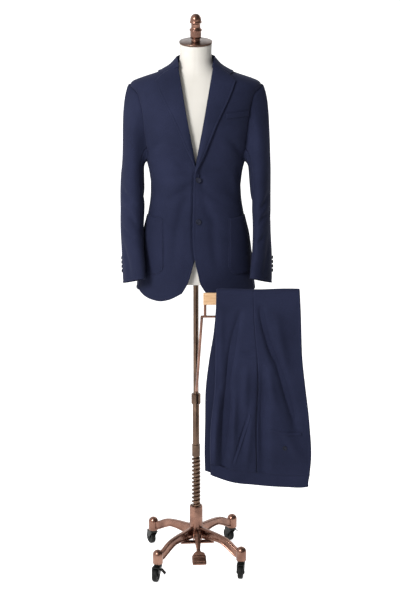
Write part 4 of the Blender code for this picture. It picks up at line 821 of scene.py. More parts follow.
# ---------------------------------------------------------------- lapels and collar
def lapel(side):
    """The front turned back along its roll line: a soft fold, then the face, standing off at its edge."""
    name = f"jacket_lapel_{side_name(side)}"
    roll = LEFT_LAPEL_ROLL if side == LEFT else RIGHT_LAPEL_ROLL
    break_z = LEFT_BREAK_Z if side == LEFT else RIGHT_BREAK_Z
    v = close_ends(120)[:, None]
    u = np.linspace(0.0, 1.0, 40)[None, :]
    face = np.clip((u - 0.12) / 0.88, 0.0, 1.0)
    turn = math.pi * np.clip(1.0 - u / 0.12, 0.0, 1.0)
    inner_z = break_z + (GORGE_Z - break_z) * v
    outer_z = break_z - 0.002 + (LAPEL_CORNER_Z - break_z + 0.002) * v
    inner_x = along(LEFT_EDGE, inner_z)[0] + 0.0006
    outer_x = np.maximum(along(LAPEL_EDGE, v)[0], inner_x + 0.003)
    z = inner_z + (outer_z - inner_z) * face + 0.0060 * np.sin(math.pi * face ** 1.3) * v ** 6
    fade = 1.0 - 0.75 * ease(v, 0.15, 0.70)
    standing = roll * fade * (0.75 * np.sin(math.pi * face ** 0.8) + 0.50 * face)
    height = ON_TOP + CLOTH + 0.0008 * (side == RIGHT)
    lift = height * (0.5 + 0.5 * np.cos(turn)) + standing - 0.0002
    x = inner_x + (outer_x - inner_x) * face - 0.0020 * np.sin(turn)
    grid = on_front(x, z, lift)
    grid = relieved(grid, ("none", "edge", "none", "seam"), ripple=0.0002, seed=7.0 + side)
    return cloth(name, to_side(grid, side), (0.0, -1.0, 0.0), "folded", (f"jacket_front_{side_name(side)}",))


def collar():
    t = np.linspace(-1.0, 1.0, 150)
    values = along(COLLAR, 1.0 - np.abs(t))
    side = np.where(t < 0, 1.0, -1.0)
    roll = stack(values[0] * side, values[1], values[2])
    fall = stack(values[3] * side, values[4], values[5])
    outward = unit((fall - roll) * np.array((1.0, 1.0, 0.0)))
    up = np.array((0.0, 0.0, 1.0))
    fall = fall - up * COLLAR_PRESS
    belly = (outward * 0.0005 - up * 0.0046) * ease(1.0 - np.abs(t), 0.0, 0.2)[:, None]
    drop = COLLAR_STAND_DROP * ease(1.0 - np.abs(t), 0.0, 0.35)[:, None]
    knots = np.stack([
        roll - outward * COLLAR_ROLL_GAP - up * drop,
        roll - outward * (0.6 * COLLAR_ROLL_GAP),
        roll + up * 0.0012,
        roll + (fall - roll) * 0.33 + belly,
        roll + (fall - roll) * 0.68 + belly * 0.7,
        fall,
    ])
    flat = knots.reshape(6, -1)
    table = np.column_stack([np.arange(6), flat])
    across = np.linspace(0.0, 5.0, 42)
    grid = np.moveaxis(along(table, across), 0, -1).reshape(42, len(t), 3).transpose(1, 0, 2)
    grid = relieved(grid, ("none", "edge", "seam", "seam"), ripple=0.00025, seed=9.0)
    return cloth("jacket_collar", grid, (0.0, 0.5, 1.0), "folded", ("jacket_back_left", "jacket_back_right"))


# ---------------------------------------------------------------- sleeves
def armhole_point(phi):
    """Where the sleeve's cap starts, tucked a little under the edge of the body all round the armhole."""
    half = 0.5 + 0.5 * np.cos(np.radians(phi))
    z = SLEEVE_FOOT_Z + (SHOULDER_TIP_Z - SLEEVE_FOOT_Z) * half
    front, back = armhole_angles(np.clip(z, UNDERARM_Z + 0.0002, SHOULDER_TIP_Z - 0.0002))
    middle = 0.5 * (FRONT_SIDE_SEAM_ANGLE + BACK_SIDE_SEAM_ANGLE)
    share = np.sin(np.radians(phi))
    low = np.where(share > 0, middle - np.minimum(share / 0.5, 1.0) * (middle - front),
                   middle + np.minimum(-share / 0.5, 1.0) * (back - middle))
    angle = np.where(half < 0.07, low, np.where(share >= 0, front, back))
    tuck = SLEEVE_TUCK * (1.0 - ease(half, 0.80, 1.0))
    point = body_point(z, angle, -0.0004 - 0.6 * tuck)
    return point - stack(tuck + 0.0010, 0.0, 0.0)


def sleeve_ring(table, z, phi):
    centre_x, centre_y, long_half, short_half, turn = along(table, z)
    angle, turn = np.radians(phi), np.radians(turn)
    short, long = short_half * np.cos(angle), -long_half * np.sin(angle)
    outer = 0.5 + 0.5 * np.cos(angle)
    y = centre_y - short * np.sin(turn) + long * np.cos(turn)
    rise = CUFF_LIFT + CUFF_TILT * (centre_y - y) - CUFF_SLOPE * outer
    x = centre_x + short * np.cos(turn) + long * np.sin(turn)
    return stack(x, y, z + rise * (1.0 - ease(z, CUFF_Z, CUFF_FADE_Z)))


def sleeve_grid(side, start, end, columns):
    """Rows over the cap from the armhole, then down to the cuff."""
    table = LEFT_SLEEVE if side == LEFT else RIGHT_SLEEVE
    phi = (start + (end - start) * close_ends(columns))[None, :]
    top, low = armhole_point(phi), sleeve_ring(table, SLEEVE_TOP_Z + 0.0 * phi, phi)
    drop = unit(sleeve_ring(table, SLEEVE_NEXT_Z + 0.0 * phi, phi) - low)
    reach = np.linalg.norm(low - top, axis=-1, keepdims=True)
    crown = 0.5 + 0.5 * np.cos(np.radians(phi))
    leave = unit(stack(1.0 + 0.0 * crown, 0.0 * crown, 0.16 * crown ** 3)) * (0.030 + 0.22 * reach)
    arrive = drop * 0.85 * reach
    t = (np.linspace(0.0, 1.0, 70, endpoint=False) ** 1.35)[:, None, None]
    cap = (
        top * ((1 + 2 * t) * (1 - t) ** 2)
        + low * (t * t * (3 - 2 * t))
        + leave * (t * (1 - t) ** 2)
        - arrive * (t * t * (1 - t))
    )
    z = SLEEVE_TOP_Z + (CUFF_Z - SLEEVE_TOP_Z) * np.sin(0.5 * math.pi * np.linspace(0, 1, 120))[:, None]
    below = sleeve_ring(table, z + 0.0 * phi, phi + 0.0 * z)
    return np.concatenate([cap, below], axis=0), phi


def sleeve_piece(side, kind, start, end, columns):
    name = f"{kind}_sleeve_{side_name(side)}"
    grid, phi = sleeve_grid(side, start, end, columns)
    across = np.broadcast_to(phi, grid.shape[:2]) * (0.165 / 180.0)
    creases = CREASES[("sleeve_" if kind == "upper" else "under_") + side_name(side)]
    head = 0.0012 * np.exp(-((lengths(grid, 0) - 0.010) / 0.008) ** 2)
    head = head * (0.5 + 0.5 * np.cos(np.radians(phi))) ** 2
    sign = -1.0 if grid_normals(grid)[100, columns // 2] @ sleeve_out(grid, columns) < 0 else 1.0
    if sign < 0:
        grid, across, head = grid[:, ::-1], across[:, ::-1], head[:, ::-1]
    grid = grid + grid_normals(grid) * head[..., None]
    borders = ("seam", "seam", "seam", "edge")
    grid = relieved(grid, borders, creases, across, grid[..., 2], 0.0005, 11.0 + side)
    grid = to_side(grid, side)
    return cloth(name, grid, sleeve_out(grid, columns), rests_on=("dress_form",))


def sleeve_out(grid, columns):
    """Away from the middle of the sleeve, at its middle column."""
    ring = grid[100]
    chord = 0.5 * (ring[0] + ring[-1])
    return ring[columns // 2] - chord


def sleeves(side):
    sleeve_piece(side, "upper", ELBOW_SEAM_DEG + 0.3, FOREARM_SEAM_DEG - 0.3, 80)
    sleeve_piece(side, "under", FOREARM_SEAM_DEG + 0.3, 360.0 + ELBOW_SEAM_DEG - 0.3, 36)


# ---------------------------------------------------------------- pockets, buttons and stitches
def patch_pocket(side):
    name = f"jacket_patch_pocket_{side_name(side)}"
    height = (PATCH_TOP_Z - PATCH_BOTTOM_Z) * (1.0 - np.linspace(0.0, 1.0, 80) ** 0.7)[:, None]
    height = np.maximum(height, 0.0004)
    z = PATCH_BOTTOM_Z + height
    into_corner = np.maximum(0.0, PATCH_CORNER - height) / PATCH_CORNER
    pull = PATCH_CORNER_DEG * (1.0 - np.sqrt(np.maximum(0.0, 1.0 - into_corner ** 2)))
    start, end = angle_at(PATCH_FRONT_X, z) + pull, PATCH_SIDE_ANGLE - 0.5 * pull
    u = close_ends(44)[None, :]
    degrees = start + (end - start) * u
    bag = 0.0016 * np.sin(math.pi * u) * ease(height, 0.02, 0.16)
    mouth = 0.0010 * ease(height, 0.165, 0.180) * np.sin(math.pi * u)
    grid = body_point(z + 0.0 * u, degrees, ON_TOP + 0.0004 + bag + mouth)
    grid = relieved(grid, ("edge", "edge", "edge", "edge"), ripple=0.00025, seed=13.0 + side)
    rests = (f"jacket_front_{side_name(side)}", f"jacket_side_{side_name(side)}")
    return cloth(name, to_side(grid, side), (side, -1.0, 0.0), "laid", rests, thickness=0.0014)


def breast_welt():
    u, v = close_ends(40)[None, :], close_ends(12)[:, None]
    x = WELT_X[0] + (WELT_X[1] - WELT_X[0]) * u
    z = WELT_Z + WELT_RISE * u + WELT_HEIGHT * v
    grid = on_front(x + 0.0 * v, z, ON_TOP + 0.0002 + 0.0006 * np.sin(math.pi * v))
    grid = relieved(grid, ("seam", "seam", "seam", "edge"), ripple=0.0001)
    rests = ("jacket_front_left",)
    return cloth("jacket_breast_welt", grid, (0.0, -1.0, 0.0), "laid", rests, thickness=0.0012)


def button(name, point, normal, radius, thick):
    """A horn button: rounded rim, dished face, four holes and the thread through them."""
    point, normal = Vector(point), Vector(normal).normalized()
    matrix = Matrix.Translation(point + normal * 0.0005) @ normal.to_track_quat("Z", "X").to_matrix().to_4x4()
    profile = ((radius * 0.02, thick * 0.66), (radius * 0.55, thick * 0.66), (radius * 0.66, thick * 0.72),
               (radius * 0.78, thick * 0.98), (radius * 0.88, thick * 1.0), (radius * 0.96, thick * 0.88),
               (radius, thick * 0.55), (radius * 0.96, thick * 0.22), (radius * 0.80, 0.0),
               (radius * 0.02, 0.0))
    turned(name, profile, HORN, "column", 40, (name,), matrix)
    spread, top = radius * 0.24, thick * 0.70

    def hole(x, y):
        return rod((x, y, top - thick * 0.02), (x, y, top + thick * 0.04), radius * 0.11, 12)

    strands = [hole(x, y) for x in (-spread, spread) for y in (-spread, spread)]
    strands += [rod((-spread, y, top + thick * 0.10), (spread, y, top + thick * 0.10), radius * 0.055, 8)
                for y in (-spread, spread)]
    place(f"{name}_thread", joined_mesh(name, strands), THREAD, "column", matrix=matrix)


def jacket_buttons():
    for name, z in (("jacket_button_closing", CLOSING_BUTTON_Z), ("jacket_button_lower", LOWER_BUTTON_Z)):
        point, above = on_front(BUTTON_X, z, 0.0006), on_front(BUTTON_X, z, 0.01)
        button(name, point, above - point, BUTTON_RADIUS, BUTTON_THICK)
    for side in (LEFT, RIGHT):
        table = LEFT_SLEEVE if side == LEFT else RIGHT_SLEEVE
        for k in range(CUFF_BUTTONS):
            z = CUFF_BUTTON_Z + CUFF_BUTTON_PITCH * k
            point = sleeve_ring(table, z, CUFF_BUTTON_ANGLE)
            ahead = sleeve_ring(table, z, CUFF_BUTTON_ANGLE + 4)
            around = ahead - sleeve_ring(table, z, CUFF_BUTTON_ANGLE - 4)
            normal = unit(np.array((-around[1], around[0], 0.0)))
            centre = np.array((along(table, z)[0], along(table, z)[1], z))
            if normal @ (point - centre) < 0:
                normal = -normal
            name = f"cuff_button_{side_name(side)}_{k + 1}"
            button(name, to_side(point + normal * 0.0008, side), to_side(normal, side), CUFF_BUTTON_RADIUS,
                   CUFF_BUTTON_THICK)


def stitch_row(name, path, normals, pitch=0.0045, length=0.0022, radius=0.00028):
    """Small stitches of thread along a path on the cloth, half sunk in it."""
    path, normals = np.asarray(path, float), np.asarray(normals, float)
    far = np.concatenate([[0.0], np.cumsum(np.linalg.norm(np.diff(path, axis=0), axis=1))])
    starts = np.arange(pitch, far[-1] - pitch, pitch)
    at = lambda s: np.array([np.interp(s, far, path[:, k]) for k in range(3)])
    up = lambda s: np.array([np.interp(s, far, normals[:, k]) for k in range(3)])
    parts = [rod(at(s) + up(s) * 0.0001, at(s + length) + up(s + length) * 0.0001, radius, 6) for s in starts]
    return place(name, joined_mesh(name, parts), THREAD, "column")


def body_stitches():
    """Pick stitches down the front edge of each patch pocket, 6 mm inside it."""
    for side in (LEFT, RIGHT):
        z = np.linspace(PATCH_TOP_Z - 0.004, PATCH_BOTTOM_Z + 0.032, 60)
        degrees = angle_at(PATCH_FRONT_X + 0.0060, z)
        path = body_point(z, degrees, ON_TOP + 0.0007)
        normals = unit(body_point(z, degrees, 0.01) - body_point(z, degrees, 0.0))
        stitch_row(f"pocket_stitches_{side_name(side)}", to_side(path, side), to_side(normals, side))


# ---------------------------------------------------------------- trousers
BEND_Z = BAR_TOP_Z - FOLD_CENTRE_DROP


def fold_point(station, x_share, distance, outline, foot=0.0):
    """A point of a layer of the folded trousers: station 0 to 1 rises in front, to 2 goes over the bar, and
    to 3 hangs behind."""
    station, x_share, distance = np.broadcast_arrays(station * 1.0, x_share, distance)
    share = np.clip(station, 0.0, 1.0)
    left, right = outline(0.345 + (BEND_Z - 0.345) * share)
    low = along(WAIST_END, left + (right - left) * x_share)[0] + foot
    z = low + (BEND_Z - low) * share
    left, right = outline(z)
    x = left + (right - left) * x_share
    swell = along(TROUSERS, z)[4] * (distance - INNER_LEG_NEAR) / (OUTER_LEG_FAR - INNER_LEG_NEAR)
    front = stack(x, BAR_Y - distance - swell, z)
    turn = math.pi * np.clip(station - 1.0, 0.0, 1.0)
    left, right = outline(BAR_TOP_Z + 0.0 * z)
    across = left + (right - left) * x_share
    over = stack(across, BAR_Y - distance * np.cos(turn), BEND_Z + distance * np.sin(turn))
    behind = np.clip(station - 2.0, 0.0, 1.0)
    narrow = ease(behind, 0.0, 0.5)
    left = left + (HEM_CENTRE_X - HEM_HALF_WIDTH - left) * narrow
    right = right + (HEM_CENTRE_X + HEM_HALF_WIDTH - right) * narrow
    across = left + (right - left) * x_share
    back = stack(across, BAR_Y + distance, BEND_Z + (LEG_HEM_Z + foot - BEND_Z) * behind)
    return np.where(station[..., None] <= 1.0, front, np.where(station[..., None] <= 2.0, over, back))


def outer_outline(z):
    _, right, left, _, _ = along(TROUSERS, z)
    return left, right


def inner_outline(z):
    left, right, _, _, _ = along(TROUSERS, z)
    return left, right - 0.006


def seam_share(station):
    z = 0.36 + (BAR_TOP_Z - 0.36) * np.clip(station, 0.0, 1.0)
    left, right = outer_outline(z)
    share = (along(TROUSERS, z)[3] - left) / (right - left)
    return share + (0.45 - share) * ease(station, 1.0, 2.0)


def fold_stations():
    rise, over, behind = close_ends(130)[:-1], 1.0 + np.linspace(0, 1, 22)[:-1], 2.0 + close_ends(70)
    return np.concatenate([rise, over, behind])[:, None]


def trouser_panel(name, gap, end_share, creases):
    """The outer leg's panel: its face from the side seam to the crease, round the crease and back behind."""
    station = fold_stations()
    seam = seam_share(station) + gap
    shares = np.linspace(0.0, 1.0, 52)[None, :-1] ** 0.9
    face = seam + (end_share - seam) * shares
    middle, half = (OUTER_LEG_NEAR + OUTER_LEG_FAR) / 2, (OUTER_LEG_FAR - OUTER_LEG_NEAR) / 2
    bend = math.pi * np.linspace(0.0, 1.0, 9)[None, :]
    sign = 1.0 if end_share > 0.5 else -1.0
    outer = fold_point(station, face, OUTER_LEG_FAR, outer_outline, WAISTBAND_HEIGHT)
    turned_in = middle + half * np.cos(bend)
    crease = fold_point(station, end_share + 0.0 * bend, turned_in, outer_outline, WAISTBAND_HEIGHT)
    crease[..., 0] += sign * half * (np.sin(bend) - 1.0)
    inner = fold_point(station, face[:, ::-1], OUTER_LEG_NEAR, outer_outline, WAISTBAND_HEIGHT)
    grid = np.concatenate([outer, crease, inner], axis=1)
    normals = grid_normals(grid)
    away = -1.0 if normals[60, 10, 1] > 0 else 1.0
    layers = [np.ones(outer.shape[1]), np.cos(bend[0] / 2) ** 2, np.zeros(inner.shape[1])]
    shown = np.where(station < 2.0, 1.0, 0.35) * np.concatenate(layers)[None, :]
    wide = lengths(grid, 1)
    up = np.where(station <= 1.5, grid[..., 2], 2 * BEND_Z - grid[..., 2])
    field = TROUSER_GAIN * crease_field(creases, grid[..., 0], up) * shown * (station < 1.4)
    pressed = np.exp(-((wide - lengths(outer, 1)[:, -1:]) / 0.0035) ** 2)
    field = field + 0.0008 * pressed * (station < 1.0)
    deep = 8.0 * (1.0 - ease(up, 0.62, 0.84))
    field = field + deep * border_field("line", wide)
    a, b = grid[..., 0] * 34.0, up * 12.0
    field = field + 0.0006 * shown * (np.sin(a + 1.5 * np.sin(b)) + np.sin(2.1 * b + a))
    grid = grid + normals * (away * field)[..., None]
    outward = (0.0, -1.0, 0.0)
    rows, columns = grid.shape[:2]
    made_faces = grid_quads(rows, columns)
    if normals[60, 10] @ np.array(outward) < 0:
        made_faces = made_faces[:, ::-1]
    uvs = np.stack([wide, lengths(grid, 0)], axis=-1).reshape(-1, 2)
    made = place(name, mesh_of(name, grid.reshape(-1, 3), made_faces, uvs), WOOL, "column", (name,))
    shell = made.modifiers.new("cloth", "SOLIDIFY")
    shell.thickness, shell.offset = 0.0014, -1.0
    flat, area = flat_size(grid)
    return made


def leg_ring(station, near, far, outline, foot, per_face):
    """Closed rings round a flattened leg, one for each station."""
    middle, half = (near + far) / 2, (far - near) / 2
    face = np.linspace(0.02, 0.98, per_face)[None, :]
    bend = math.pi * np.linspace(0.0, 1.0, 9)[None, 1:-1]
    front = fold_point(station, face, far, outline, foot)
    right = fold_point(station, 1.0 + 0.0 * bend, middle + half * np.cos(bend), outline, foot)
    right[..., 0] += half * (np.sin(bend) - 1.0)
    back = fold_point(station, face[:, ::-1], near, outline, foot)
    left = fold_point(station, 0.0 * bend, middle - half * np.cos(bend), outline, foot)
    left[..., 0] -= half * (np.sin(bend) - 1.0)
    return np.concatenate([front, right, back, left], axis=1)


def waistband():
    feet = (WAISTBAND_HEIGHT - WAISTBAND_GAP) * close_ends(22)
    start = np.zeros((1, 1))
    rows = [leg_ring(start, OUTER_LEG_NEAR, OUTER_LEG_FAR, outer_outline, foot, 70)[0] for foot in feet]
    grid = np.stack(rows)
    loop = np.concatenate([grid, grid[:, :1]], axis=1)
    normals = grid_normals(loop)[:, :-1]
    away = 1.0 if normals[8, 20, 1] < 0 else -1.0
    tall = lengths(grid, 0)
    field = border_field("edge", tall)
    field = field + 0.0005 * np.sin(grid[..., 0] * 60.0 + 2.0 * np.sin(tall * 90.0))
    grid = grid + normals * (away * field)[..., None]
    rows, columns = grid.shape[:2]
    faces = grid_quads(rows, columns, closed=True)
    if away < 0:
        faces = faces[:, ::-1]
    uvs = np.stack([lengths(grid, 1), tall], axis=-1).reshape(-1, 2)
    name = "trouser_waistband"
    made = place(name, mesh_of(name, grid.reshape(-1, 3), faces, uvs), WOOL, "column", (name,))
    shell = made.modifiers.new("cloth", "SOLIDIFY")
    shell.thickness, shell.offset = 0.0014, -1.0
    around = float(lengths(loop, 1)[:, -1].max())
    return made


def inner_leg():
    """The other leg, whose layers show at the edges as a stack with a groove between them."""
    station = fold_stations()
    middle, half = (INNER_LEG_NEAR + INNER_LEG_FAR) / 2, (INNER_LEG_FAR - INNER_LEG_NEAR) / 2
    face = np.linspace(0.01, 0.99, 40)[None, :]
    lips = np.array((0.9, 0.45, 0.1, -0.1, -0.45, -0.9))[None, :]
    depth = np.array((0.0004, 0.0002, 0.0030, 0.0030, 0.0002, 0.0004))[None, :]
    front = fold_point(station, face, INNER_LEG_FAR, inner_outline, 0.003)
    right = fold_point(station, 1.0 + 0.0 * lips, middle + half * lips, inner_outline, 0.003)
    right[..., 0] -= depth
    back = fold_point(station, face[:, ::-1], INNER_LEG_NEAR, inner_outline, 0.003)
    left = fold_point(station, 0.0 * lips, middle - half * lips, inner_outline, 0.003)
    left[..., 0] += depth
    rings = np.concatenate([front, right, back, left], axis=1)
    rings[:, :40, 1] += 0.0004 * np.sin(rings[:, :40, 2] * 60.0)
    made = ring_solid("trouser_inner_leg", rings, WOOL, "column")
    return made


def trouser_face(x, z, lift):
    swell = along(TROUSERS, z)[4]
    creases = TROUSER_GAIN * crease_field(CREASES["trouser_front"] + CREASES["trouser_back"], x, z)
    return stack(x, BAR_Y - OUTER_LEG_FAR - swell - lift - creases, z)


def pocket_welt(name, ends, bow):
    (x0, z0), (x1, z1) = ends
    run = np.array((x1 - x0, z1 - z0))
    side = np.array((run[1], -run[0])) / np.linalg.norm(run) * WELT_WIDTH
    u, v = close_ends(46)[None, :], (close_ends(12) - 0.5)[:, None]
    sag = bow * 4 * u * (1 - u)
    x = x0 + run[0] * u + side[0] * v
    z = z0 + run[1] * u + side[1] * v + sag
    grid = trouser_face(x, z, 0.0014 + 0.0007 * np.cos(math.pi * v))
    return cloth(name, grid, (0.0, -1.0, 0.0), "laid", ("trouser_front_panel", "trouser_back_panel"),
                 thickness=0.0010)


def trousers():
    creases = CREASES["trouser_front"] + CREASES["trouser_back"]
    trouser_panel("trouser_front_panel", 0.0004, 0.0, creases)
    trouser_panel("trouser_back_panel", -0.0004, 1.0, creases)
    waistband()
    inner_leg()
    pocket_welt("trouser_back_pocket_welt", BACK_POCKET, -0.004)
    pocket_welt("trouser_slash_pocket_welt", SLASH_POCKET, 0.0)
    x, z = POCKET_BUTTON
    point = trouser_face(np.array(x), np.array(z), 0.0006)
    button("trouser_pocket_button", point, (0.0, -1.0, 0.0), 0.0070, 0.0028)


# ---------------------------------------------------------------- dress form, pole and bar
def dress_form():
    z = np.concatenate([np.linspace(0.952, 1.56, 90), np.linspace(1.562, 1.676, 46)])[:, None]
    degrees = np.linspace(0.0, 360.0, 96, endpoint=False)[None, :]
    rings = section_point(FORM, z + 0.0 * degrees, degrees + 0.0 * z)
    lean = np.radians(CAP_TILT_DEG) * ease(z, NECK_LEAN_FROM_Z, CAP_Z)
    y = rings[..., 1].copy()
    rings[..., 1], rings[..., 2] = y * np.cos(lean), rings[..., 2] + y * np.sin(lean)
    seam = 0.0006 * np.exp(-(np.minimum(np.abs(degrees), 360 - np.abs(degrees)) / 0.8) ** 2)
    rings[..., 1] += seam
    foot = rings[:1] * np.array((0.945, 0.915, 1.0)) - np.array((0.0, 0.0, 0.003))
    ring_solid("dress_form", np.concatenate([foot, rings]), CREAM, "column", sharp=50.0)


def tilt_matrix(height):
    lean = math.radians(CAP_TILT_DEG)
    where = Vector((0.0, -height * math.sin(lean), CAP_Z + height * math.cos(lean) + 0.0003))
    return Matrix.Translation(where) @ Matrix.Rotation(lean, 4, "X")


def cap_and_finial():
    rim = 0.0014
    cap = ((0.001, CAP_THICK), (CAP_RADIUS - rim, CAP_THICK), (CAP_RADIUS - 0.3 * rim, CAP_THICK - 0.3 * rim),
           (CAP_RADIUS, CAP_THICK - rim), (CAP_RADIUS, rim), (CAP_RADIUS - rim, 0.0), (0.001, 0.0))
    turned("neck_cap", cap, CAP_COPPER, "column", 96, matrix=tilt_matrix(0.0))
    finial = (
        (0.0005, 0.0820), (0.0070, 0.0805), (0.0125, 0.0760), (0.0160, 0.0690), (0.0168, 0.0610),
        (0.0182, 0.0585), (0.0182, 0.0560), (0.0150, 0.0535), (0.0138, 0.0470), (0.0142, 0.0400),
        (0.0185, 0.0355), (0.0190, 0.0325), (0.0168, 0.0300), (0.0165, 0.0110), (0.0130, 0.0080),
        (0.0140, 0.0030), (0.0130, 0.0000), (0.0005, 0.0000),
    )
    turned("finial", finial, COPPER, "column", 64, matrix=tilt_matrix(CAP_THICK + 0.0003), smooth=3)


def poles():
    top, foot = FORM[0][0] - 0.0034, CLAMP_Z + 0.0003
    turned("upper_pole", ((0.0005, top), (UPPER_POLE_RADIUS, top), (UPPER_POLE_RADIUS, foot), (0.0005, foot)),
           POLE_COPPER_PAINTED_SHADE, "column", 48)
    low, r = CLAMP_Z - CLAMP_HEIGHT, CLAMP_RADIUS
    clamp = ((0.0113, CLAMP_Z - 0.0006), (r - 0.0012, CLAMP_Z - 0.0006), (r - 0.0003, CLAMP_Z - 0.0012),
             (r, CLAMP_Z - 0.0024), (r, low + 0.0016), (r - 0.0012, low), (0.0113, low))
    turned("brace_clamp", clamp, POLE_COPPER_PAINTED_SHADE, "column", 48)
    pitch, per_turn, segments = (THREAD_TOP_Z - COLUMN_FOOT_Z) / THREAD_TURNS, 14, 48
    k = np.arange(THREAD_TURNS * per_turn + 1)[:, None]
    z = COLUMN_FOOT_Z + pitch * k / per_turn
    turn = np.linspace(0, 2 * math.pi, segments, endpoint=False)[None, :]
    ends = np.minimum(1.0, np.minimum(2.0 * k, 2.0 * (THREAD_TURNS * per_turn - k)) / per_turn)
    rib = np.clip(0.5 + 0.75 * np.cos(2 * math.pi * z / pitch - turn), 0.0, 1.0)
    radius = THREAD_ROOT + (THREAD_CREST - THREAD_ROOT) * rib * rib * (3 - 2 * rib) * ends
    thread = stack(radius * np.cos(turn), radius * np.sin(turn), z)
    plain = ((THREAD_TOP_Z + 0.0015, COLLAR_RING_RADIUS), (THREAD_COLLAR_TOP_Z - 0.001, COLLAR_RING_RADIUS),
             (THREAD_COLLAR_TOP_Z, LOWER_POLE_RADIUS), (CLAMP_Z, LOWER_POLE_RADIUS))
    rings = [stack(r * np.cos(turn), r * np.sin(turn), z + 0.0 * turn) for z, r in plain]
    ring_solid("screw_column", np.concatenate([thread] + rings), POLE_COPPER_PAINTED_SHADE, "column")


def bar_and_brace():
    bm = bmesh.new()
    made = bmesh.ops.create_cube(bm, size=1.0)
    size = Vector((BAR_RIGHT_X - BAR_LEFT_X, 2 * BAR_HALF_THICK, BAR_TOP_Z - BAR_BOTTOM_Z))
    bmesh.ops.scale(bm, vec=size, verts=made["verts"])
    middle = Vector(((BAR_LEFT_X + BAR_RIGHT_X) / 2, BAR_Y, (BAR_TOP_Z + BAR_BOTTOM_Z) / 2))
    bmesh.ops.translate(bm, vec=middle, verts=made["verts"])
    bmesh.ops.bevel(bm, geom=list(bm.edges), offset=0.0016, segments=4, affect="EDGES", profile=0.5)
    mesh = bpy.data.meshes.new("trouser_bar")
    bm.to_mesh(mesh)
    bm.free()
    place("trouser_bar", mesh, WOOD, "column", ("trouser_bar",))
    post_x = POST_X + 0.0095
    parts = [
        rod((post_x, BAR_Y, ELBOW_Z), (post_x, BAR_Y, BAR_BOTTOM_Z - 0.0003), POST_RADIUS - 0.0014),
        rod((POST_X - 0.004, BAR_Y, ELBOW_Z), (BAR_RIGHT_X - 0.02, BAR_Y, ELBOW_Z), REST_ROD_RADIUS),
    ]
    place("bar_post", joined_mesh("bar_post", parts), COPPER, "column", ("bar_post",))
    elbow, clamp = Vector((POST_X, BAR_Y, ELBOW_Z)), Vector((0.0, 0.0, CLAMP_Z - 0.5 * CLAMP_HEIGHT))
    direction = (clamp - elbow).normalized()
    line = rod(elbow + direction * (REST_ROD_RADIUS + 0.0012), clamp - direction * BRACE_STOP, 0.0045)
    place("brace_rod", joined_mesh("brace_rod", [line]), COPPER, "column", ("brace_rod",))


# ---------------------------------------------------------------- base and casters
def hub():
    e = 0.003
    outer = ((HUB_BORE, HUB_TOP_Z - 0.002), (HUB_BORE + 0.0008, HUB_TOP_Z), (HUB_RADIUS - e, HUB_TOP_Z),
             (HUB_RADIUS - 0.3 * e, HUB_TOP_Z - 0.3 * e), (HUB_RADIUS, HUB_TOP_Z - e),
             (HUB_RADIUS, HUB_FOOT_Z),
             (HUB_BORE, HUB_FOOT_Z))
    turns = np.linspace(0, 2 * math.pi, 72, endpoint=False)
    points = [[(r * math.cos(a), r * math.sin(a), z) for a in turns] for r, z in outer]
    grid = np.asarray(points)
    faces = grid_quads(len(outer), 72, closed=True).tolist()
    last = (len(outer) - 1) * 72
    faces += [(i, last + i, last + (i + 1) % 72, (i + 1) % 72) for i in range(72)]
    mesh = mesh_of("hub", grid.reshape(-1, 3), faces)
    bm = bmesh.new()
    bm.from_mesh(mesh)
    bmesh.ops.recalc_face_normals(bm, faces=bm.faces)
    bm.to_mesh(mesh)
    bm.free()
    place("hub", mesh, COPPER, "base", ("hub",))


def arm(name, degrees):
    """An arched arm with a hollow channel down each side, ending in its domed socket."""
    reach = np.linspace(ARM_LINE[0][0], ARM_LINE[-1][0], 44)
    top, bottom = along(ARM_LINE, reach)
    wide, web = ARM_HALF_WIDTH, ARM_HALF_WIDTH - ARM_CHANNEL
    rings = []
    for r, t, b in zip(reach, top, bottom):
        lip = ARM_FLANGE
        right = [(wide - 0.0030, t + 0.0004), (wide - 0.0012, t - 0.0002), (wide - 0.0003, t - 0.0012),
                 (wide, t - 0.0026), (wide, t - lip + 0.0006), (wide - 0.0005, t - lip),
                 (web + 0.0003, t - lip - ARM_CHANNEL + 0.0006), (web, t - lip - ARM_CHANNEL - 0.0006),
                 (web, b + lip + ARM_CHANNEL + 0.0006), (web + 0.0003, b + lip + ARM_CHANNEL - 0.0006),
                 (wide - 0.0005, b + lip), (wide, b + lip - 0.0006), (wide, b + 0.0022),
                 (wide - 0.0010, b + 0.0005),
                 (wide - 0.0028, b)]
        left = [(-y, z) for y, z in reversed(right)]
        rings.append([(r, y, z) for y, z in right + left])
    matrix = Matrix.Rotation(math.radians(degrees), 4, "Z")
    ring_solid(f"base_arm_{name}", rings, COPPER, "base", matrix=matrix, sharp=40.0)
    dome = [(SOCKET_RADIUS - 0.0012, SOCKET_FOOT_Z), (SOCKET_RADIUS - 0.0003, SOCKET_FOOT_Z + 0.0004),
            (SOCKET_RADIUS, SOCKET_FOOT_Z + 0.0014), (SOCKET_RADIUS, SOCKET_SHOULDER_Z)]
    for k in range(1, 15):
        turn = 0.5 * math.pi * k / 14.4
        dome.append((SOCKET_RADIUS * math.cos(turn), SOCKET_SHOULDER_Z + SOCKET_RADIUS * math.sin(turn)))
    turned(f"socket_{name}", dome, COPPER, "base", 56, (), matrix @ Matrix.Translation((ARM_REACH, 0.0, 0.0)))


